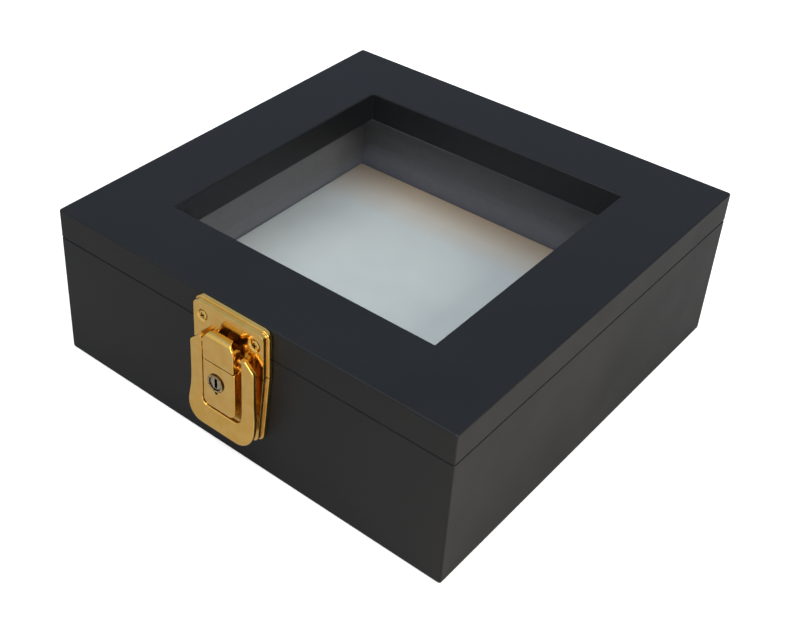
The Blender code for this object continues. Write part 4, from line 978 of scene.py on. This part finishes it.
brass, tree, place = new_material("brass-plated zinc")
cloud = add_node(tree, "TexNoise", Vector=place, Scale=per_metre(CLOUD_MM), Detail=3.0)
ripple = add_node(tree, "TexNoise", Vector=place, Scale=per_metre(RIPPLE_MM), Detail=1.0)
share = add_node(tree, "MapRange", Value=cloud, From_Min=0.35, From_Max=0.65)
colour = add_node(tree, "Mix", COLOURS, Factor=share, _6=linear("#DFAF4C"), _7=linear("#E6BA60"))
gloss = add_node(tree, "MapRange", Value=cloud, From_Min=0.35, From_Max=0.65, To_Min=0.12,
                 To_Max=0.22)
relief = add_node(tree, "Bump", Strength=0.25, Distance=0.02 * MM, Height=ripple)
shader = add_node(tree, "BsdfPrincipled", Base_Color=colour, Metallic=1.0, Roughness=gloss,
                  Normal=relief, Coat_Weight=0.6, Coat_Roughness=0.08, Coat_IOR=1.5)
add_node(tree, "OutputMaterial", Surface=shader)

# %% [markdown]
# ## Turned steel of the lock
#
# The cylinder and plug are turned and nickel-flashed. The lathe leaves rings far finer than the
# picture can show, so they are drawn about a millimetre and a half apart, round the lock's own
# axis. The Wave texture has rings every 2 pi / 20 at a Scale of 1.

# %% Nickel-plated steel
RING_MM, SMEAR_MM = 1.5708, 0.9
WAVE_SPACING = 2 * math.pi / 20

steel, tree, place = new_material("nickel-plated steel")
centred = add_node(tree, "Mapping", Vector=place, Location=(-LOCK[0], 0, -LOCK[1]))
rings = add_node(tree, "TexWave", {"wave_type": "RINGS", "rings_direction": "Y"}, Vector=centred,
                 Scale=WAVE_SPACING * per_metre(RING_MM)).outputs["Fac"]
smear = add_node(tree, "TexNoise", Vector=place, Scale=per_metre(SMEAR_MM), Detail=2.0)
colour = add_node(tree, "Mix", COLOURS, Factor=smear, _6=linear("#8E8574"), _7=linear("#C9C0AC"))
gloss = add_node(tree, "MapRange", Value=rings, To_Min=0.20, To_Max=0.32)
relief = add_node(tree, "Bump", Strength=0.2, Distance=0.02 * MM, Height=rings)
shader = add_node(tree, "BsdfPrincipled", Base_Color=colour, Metallic=1.0, Roughness=gloss,
                  Normal=relief)
add_node(tree, "OutputMaterial", Surface=shader)

# %% [markdown]
# Keys have rubbed the cylinder's face until the brass shows through its nickel in patches. The
# keyway, the screws' crosses, the housing's small hole and the cylinder's side are painted dark: a
# painted shade for these recesses and gaps. Both are the same cloudy mixture, between two lighter
# or two darker colours.

# %% Worn nickel, and metal painted dark as shade
PATCH_MM = 1.4


def cloudy_metal(name, deep, bare):
    """Metal in cloudy patches, between a rougher and a smoother hex colour."""
    made, tree, place = new_material(name)
    patch_noise = add_node(tree, "TexNoise", Vector=place, Scale=per_metre(PATCH_MM), Detail=3.0)
    share = add_node(tree, "MapRange", Value=patch_noise, From_Min=0.35, From_Max=0.65)
    shader = add_node(
        tree, "BsdfPrincipled", Metallic=1.0,
        Base_Color=add_node(tree, "Mix", COLOURS, Factor=share, _6=linear(deep), _7=linear(bare)),
        Roughness=add_node(tree, "MapRange", Value=share, To_Min=0.34, To_Max=0.22))
    add_node(tree, "OutputMaterial", Surface=shader)
    return made


worn = cloudy_metal("nickel worn to brass", "#8C744C", "#C9B07C")
painted_shade_metal = cloudy_metal("metal painted dark as shade", "#2A2018", "#4A3824")

# %% [markdown]
# ## Clear glass
#
# The pane is 2 mm float glass. It is thin and flat, so it hardly bends what is behind it: light
# goes straight through, a little is lost to the faint green of the glass, and Fresnel's share is
# mirrored at each face. The photograph shows next to no mirror image in the pane, so the faces
# have the coat of display glass, which takes most of that share away and leaves a violet cast.
# A few smudges make it uneven. Because the ray isn't bent inside, the far face takes the inverse
# index, or it would mirror everything at this angle.

# %% Float glass
GLASS_IOR = 1.52
SMUDGE_MM = 26

glass, tree, place = new_material("clear float glass")
smudge = add_node(tree, "TexNoise", Vector=place, Scale=per_metre(SMUDGE_MM), Detail=4.0)
gloss = add_node(tree, "MapRange", Value=smudge, From_Min=0.3, From_Max=0.7, To_Min=0.01,
                 To_Max=0.06)
mirror = add_node(tree, "BsdfGlossy", Color=linear("#7E7C88"), Roughness=gloss)
clear = add_node(tree, "BsdfTransparent", Color=linear("#FBFDFC"))
far_face = add_node(tree, "NewGeometry").outputs["Backfacing"]
bend = add_node(tree, "MapRange", Value=far_face, To_Min=GLASS_IOR, To_Max=1 / GLASS_IOR)
share = add_node(tree, "Fresnel", IOR=bend)
shader = add_node(tree, "MixShader", Fac=share, _1=clear, _2=mirror)
add_node(tree, "OutputMaterial", Surface=shader)

# %% [markdown]
# ## White card
#
# The card on the case's floor is flocked: short rayon fibres stand in glue, so it is fully matt,
# slightly cool and a little uneven. Towards its back edge it has a painted warm shade, where the
# lid overhangs it.

# %% Flocked card
FIBRE_MM, UNEVEN_MM = 0.5, 30
PAINTED_SHADE_WIDTH = 34 * MM

card, tree, place = new_material("white flocked card")
fibres = add_node(tree, "TexNoise", Vector=place, Scale=per_metre(FIBRE_MM), Detail=3.0)
uneven = add_node(tree, "TexNoise", Vector=place, Scale=per_metre(UNEVEN_MM), Detail=2.0)
share = add_node(tree, "MapRange", Value=uneven, From_Min=0.3, From_Max=0.7)
clean = add_node(tree, "Mix", COLOURS, Factor=share, _6=linear("#DDE1E4"), _7=linear("#E6E9EA"))
backwards = add_node(tree, "SeparateXYZ", Vector=place).outputs["Y"]
# Painted shade: the card turns warmer and darker over its back strip, under the lid's overhang.
painted_back_shade = add_node(tree, "MapRange", Value=backwards, From_Min=INNER - PAINTED_SHADE_WIDTH, From_Max=INNER,
                To_Max=0.85)
colour = add_node(tree, "Mix", COLOURS, Factor=painted_back_shade, _6=clean, _7=linear("#E6BE8E"))
relief = add_node(tree, "Bump", Strength=0.5, Distance=0.12 * MM, Height=fibres)
shader = add_node(tree, "BsdfPrincipled", Base_Color=colour, Roughness=0.95, Normal=relief)
add_node(tree, "OutputMaterial", Surface=shader)

# %% [markdown]
# The bottom panel is thin board faced with black paper, whose pulp shows as a faint mottle. It is
# the one piece here that nobody looks at, so two near blacks and a shallow bump will do.

# %% Paper-faced board
PULP_MM = 1.2

paper, tree, place = new_material("black-faced fibreboard")
pulp = add_node(tree, "TexNoise", Vector=place, Scale=per_metre(PULP_MM), Detail=4.0)
colour = add_node(tree, "Mix", COLOURS, Factor=pulp, _6=linear("#1E1D1C"), _7=linear("#2B2927"))
relief = add_node(tree, "Bump", Strength=0.4, Distance=0.05 * MM, Height=pulp)
shader = add_node(tree, "BsdfPrincipled", Base_Color=colour, Roughness=0.8, Normal=relief)
add_node(tree, "OutputMaterial", Surface=shader)

# %% [markdown]
# The latch takes its materials face by face: the crosses of its screws, the keyway and the small
# hole are painted dark as shade, and the cylinder is worn on its face and painted dark as shade
# round its side. The CAD nodes that stay in view take the material of their slot.

# %% Materials on the latch and on the CAD nodes
FACES_FRONT = -0.5
FLAT_FRONT = -0.9
HOLE_RIM, KEYWAY_RIM = 0.2 * MM, 0.32 * MM
BY_SLOT = {"black_lacquer": lacquer, "white_board": card, "raw_board": paper,
           "clear_glass": glass, "brass_plate": brass, "bright_steel": steel}


def two_finishes(piece, first, second, takes_second):
    """Give a piece two materials, the second one to the faces that a test picks."""
    for finish in (first, second):
        piece.data.materials.append(finish)
    for face in piece.data.polygons:
        face.material_index = int(takes_second(face))


def in_hole(face):
    """Whether a face lies in the housing's small hole, behind its rim."""
    off_axis = math.hypot(face.center.x - HOLE_SPOT[0], face.center.z - HOLE_SPOT[1])
    return off_axis < 1.1 * HOLE_RADIUS and -HALF - face.center.y < HOUSING_FACE - HOLE_RIM


PLUG_FACE = -HALF - cad_range("key_plug", "y")[0] + CYLINDER_LIFT
for piece in (catch, base, lever, hook):
    piece.data.materials.append(brass)
# Painted shade: faces in recesses and gaps, not turned to the front, take the dark metal.
for screw in latch_screws:
    two_finishes(screw, brass, painted_shade_metal, lambda face: face.normal.y > FACES_FRONT)
two_finishes(housing, brass, painted_shade_metal, in_hole)
two_finishes(plug, steel, painted_shade_metal, lambda face: -HALF - face.center.y < PLUG_FACE - KEYWAY_RIM)
two_finishes(cylinder, painted_shade_metal, worn, lambda face: face.normal.y < FLAT_FRONT)
for part in frame["record"]["subparts"]:
    item = frame["nodes"][part["node"]]
    item.data.materials.clear()
    item.data.materials.append(BY_SLOT[part["material_slot"]])
print("materials:", [made.name for made in BY_SLOT.values()])

# %% [markdown]
# ## Table, world and lamps
#
# The product stands on a white ground under soft light. A photographer would light the sheet
# apart from the product. Here the ground is a pale matt sheet that also glows a little for the
# camera alone, so that it reaches white and still keeps the box's shadow. A painted pool of light
# makes it palest and warmest to the right of the front, which is what the box's right side mirrors.

# %% Floor
FLOOR_HALF = 4.0
FLOOR_DEPTH = 0.4 * MM
GRAIN_MM = 2.0
LIGHT_POOL_START, LIGHT_POOL_END = 0.08, 0.21

floor_mesh = bpy.data.meshes.new("table")
floor_mesh.from_pydata([(x * FLOOR_HALF, y * FLOOR_HALF, -FLOOR_DEPTH)
                        for x, y in ((-1, -1), (1, -1), (1, 1), (-1, 1))], [], [(0, 1, 2, 3)])
floor = add_object("table", floor_mesh)

ground, tree, place = new_material("pale matt ground")
ray = add_node(tree, "LightPath")
grain = add_node(tree, "TexNoise", Vector=place, Scale=per_metre(GRAIN_MM), Detail=2.0)
spot = add_node(tree, "SeparateXYZ", Vector=place)
rightwards = add_node(tree, "Math", {"operation": "MULTIPLY_ADD"}, _0=spot.outputs["Y"], _1=-0.5,
                      _2=spot.outputs["X"])
# Painted light: a pale warm pool on the ground to the right of the box, seen only in reflections.
painted_light_pool = add_node(tree, "MapRange", Value=rightwards, From_Min=LIGHT_POOL_START, From_Max=LIGHT_POOL_END)
floor_tone = add_node(tree, "Mix", COLOURS, Factor=grain, _6=linear("#B3B2B0"), _7=linear("#BDBCBA"))
tone = add_node(tree, "Mix", COLOURS, Factor=painted_light_pool, _6=floor_tone, _7=linear("#E4DED4"))
plain = add_node(tree, "BsdfDiffuse", Color=tone)
seen = add_node(tree, "BsdfDiffuse", Color=linear("#E8E8E8"))
glow = add_node(tree, "Emission", Color=(1, 1, 1, 1), Strength=0.55)
lit = add_node(tree, "AddShader", _0=seen, _1=glow)
shader = add_node(tree, "MixShader", Fac=ray.outputs["Is Camera Ray"], _1=plain, _2=lit)
add_node(tree, "OutputMaterial", Surface=shader)
floor.data.materials.append(ground)

# %% [markdown]
# The world is three things at once. The camera sees plain white. Matt surfaces get an even,
# slightly cool light from all round. Mirror-like ones see a room: pale in front of the box, grey
# at the horizon behind it, and a cool ceiling above, which is what the lid mirrors. A photograph of
# a studio could do the same, but two blends of plain colours are easier to match and to change.

# %% World
AMBIENT = 0.60
CEILING = 0.55
FRONT = -0.6

world = bpy.data.worlds.new("studio")
world.use_nodes = True
bpy.context.scene.world = world
tree = world.node_tree
tree.nodes.clear()
way = add_node(tree, "TexCoord").outputs["Generated"]
direction = add_node(tree, "SeparateXYZ", Vector=way)
ceiling = add_node(tree, "MapRange", Value=direction.outputs["Z"], From_Max=CEILING)
far_side = add_node(tree, "Mix", COLOURS, Factor=ceiling, _6=linear("#6C747C"),
                    _7=linear("#B6C5D8"))
towards_front = add_node(tree, "MapRange", Value=direction.outputs["Y"], From_Max=FRONT)
mirrored = add_node(tree, "Mix", COLOURS, Factor=towards_front, _6=far_side, _7=linear("#E6EDF0"))
ray = add_node(tree, "LightPath")
past_glass = add_node(tree, "Math", {"operation": "MAXIMUM"}, _0=ray.outputs["Is Camera Ray"],
                      _1=ray.outputs["Is Transmission Ray"])
around = add_node(tree, "Background", Color=linear("#F4F6FA"), Strength=AMBIENT)
room = add_node(tree, "Background", Color=mirrored, Strength=1.0)
white = add_node(tree, "Background", Color=(1, 1, 1, 1), Strength=1.0)
mixed = add_node(tree, "MixShader", Fac=ray.outputs["Is Glossy Ray"], _1=around, _2=room)
mixed = add_node(tree, "MixShader", Fac=past_glass, _1=mixed, _2=white)
add_node(tree, "OutputWorld", Surface=mixed)

# %% [markdown]
# Two large lamps are enough: one high in front, which lights the top and the front, and a weaker
# warm one to the right, which lights the right side.

# %% Lamps
AIM = (0, 0, 0.04)


def lamp(name, place, size, power, code):
    """A square area lamp aimed at the middle of the box: its axes are the direction towards the
    box, the level direction across that, and the one square to both."""
    light = bpy.data.lights.new(name, "AREA")
    light.size = size
    light.energy = power
    light.color = linear(code)[:3]
    towards = unit(np.subtract(AIM, place))
    across = unit(np.cross(towards, (0, 0, 1)))
    axes = np.column_stack([across, np.cross(across, towards), -towards, place])
    add_object(name, light).matrix_world = Matrix([*axes.tolist(), (0, 0, 0, 1)])


lamp("overhead_light", (0.10, -0.62, 1.35), 1.2, 12, "#F6F8FF")
lamp("window_light", (0.90, -0.15, 0.65), 0.6, 7, "#FFF8EE")
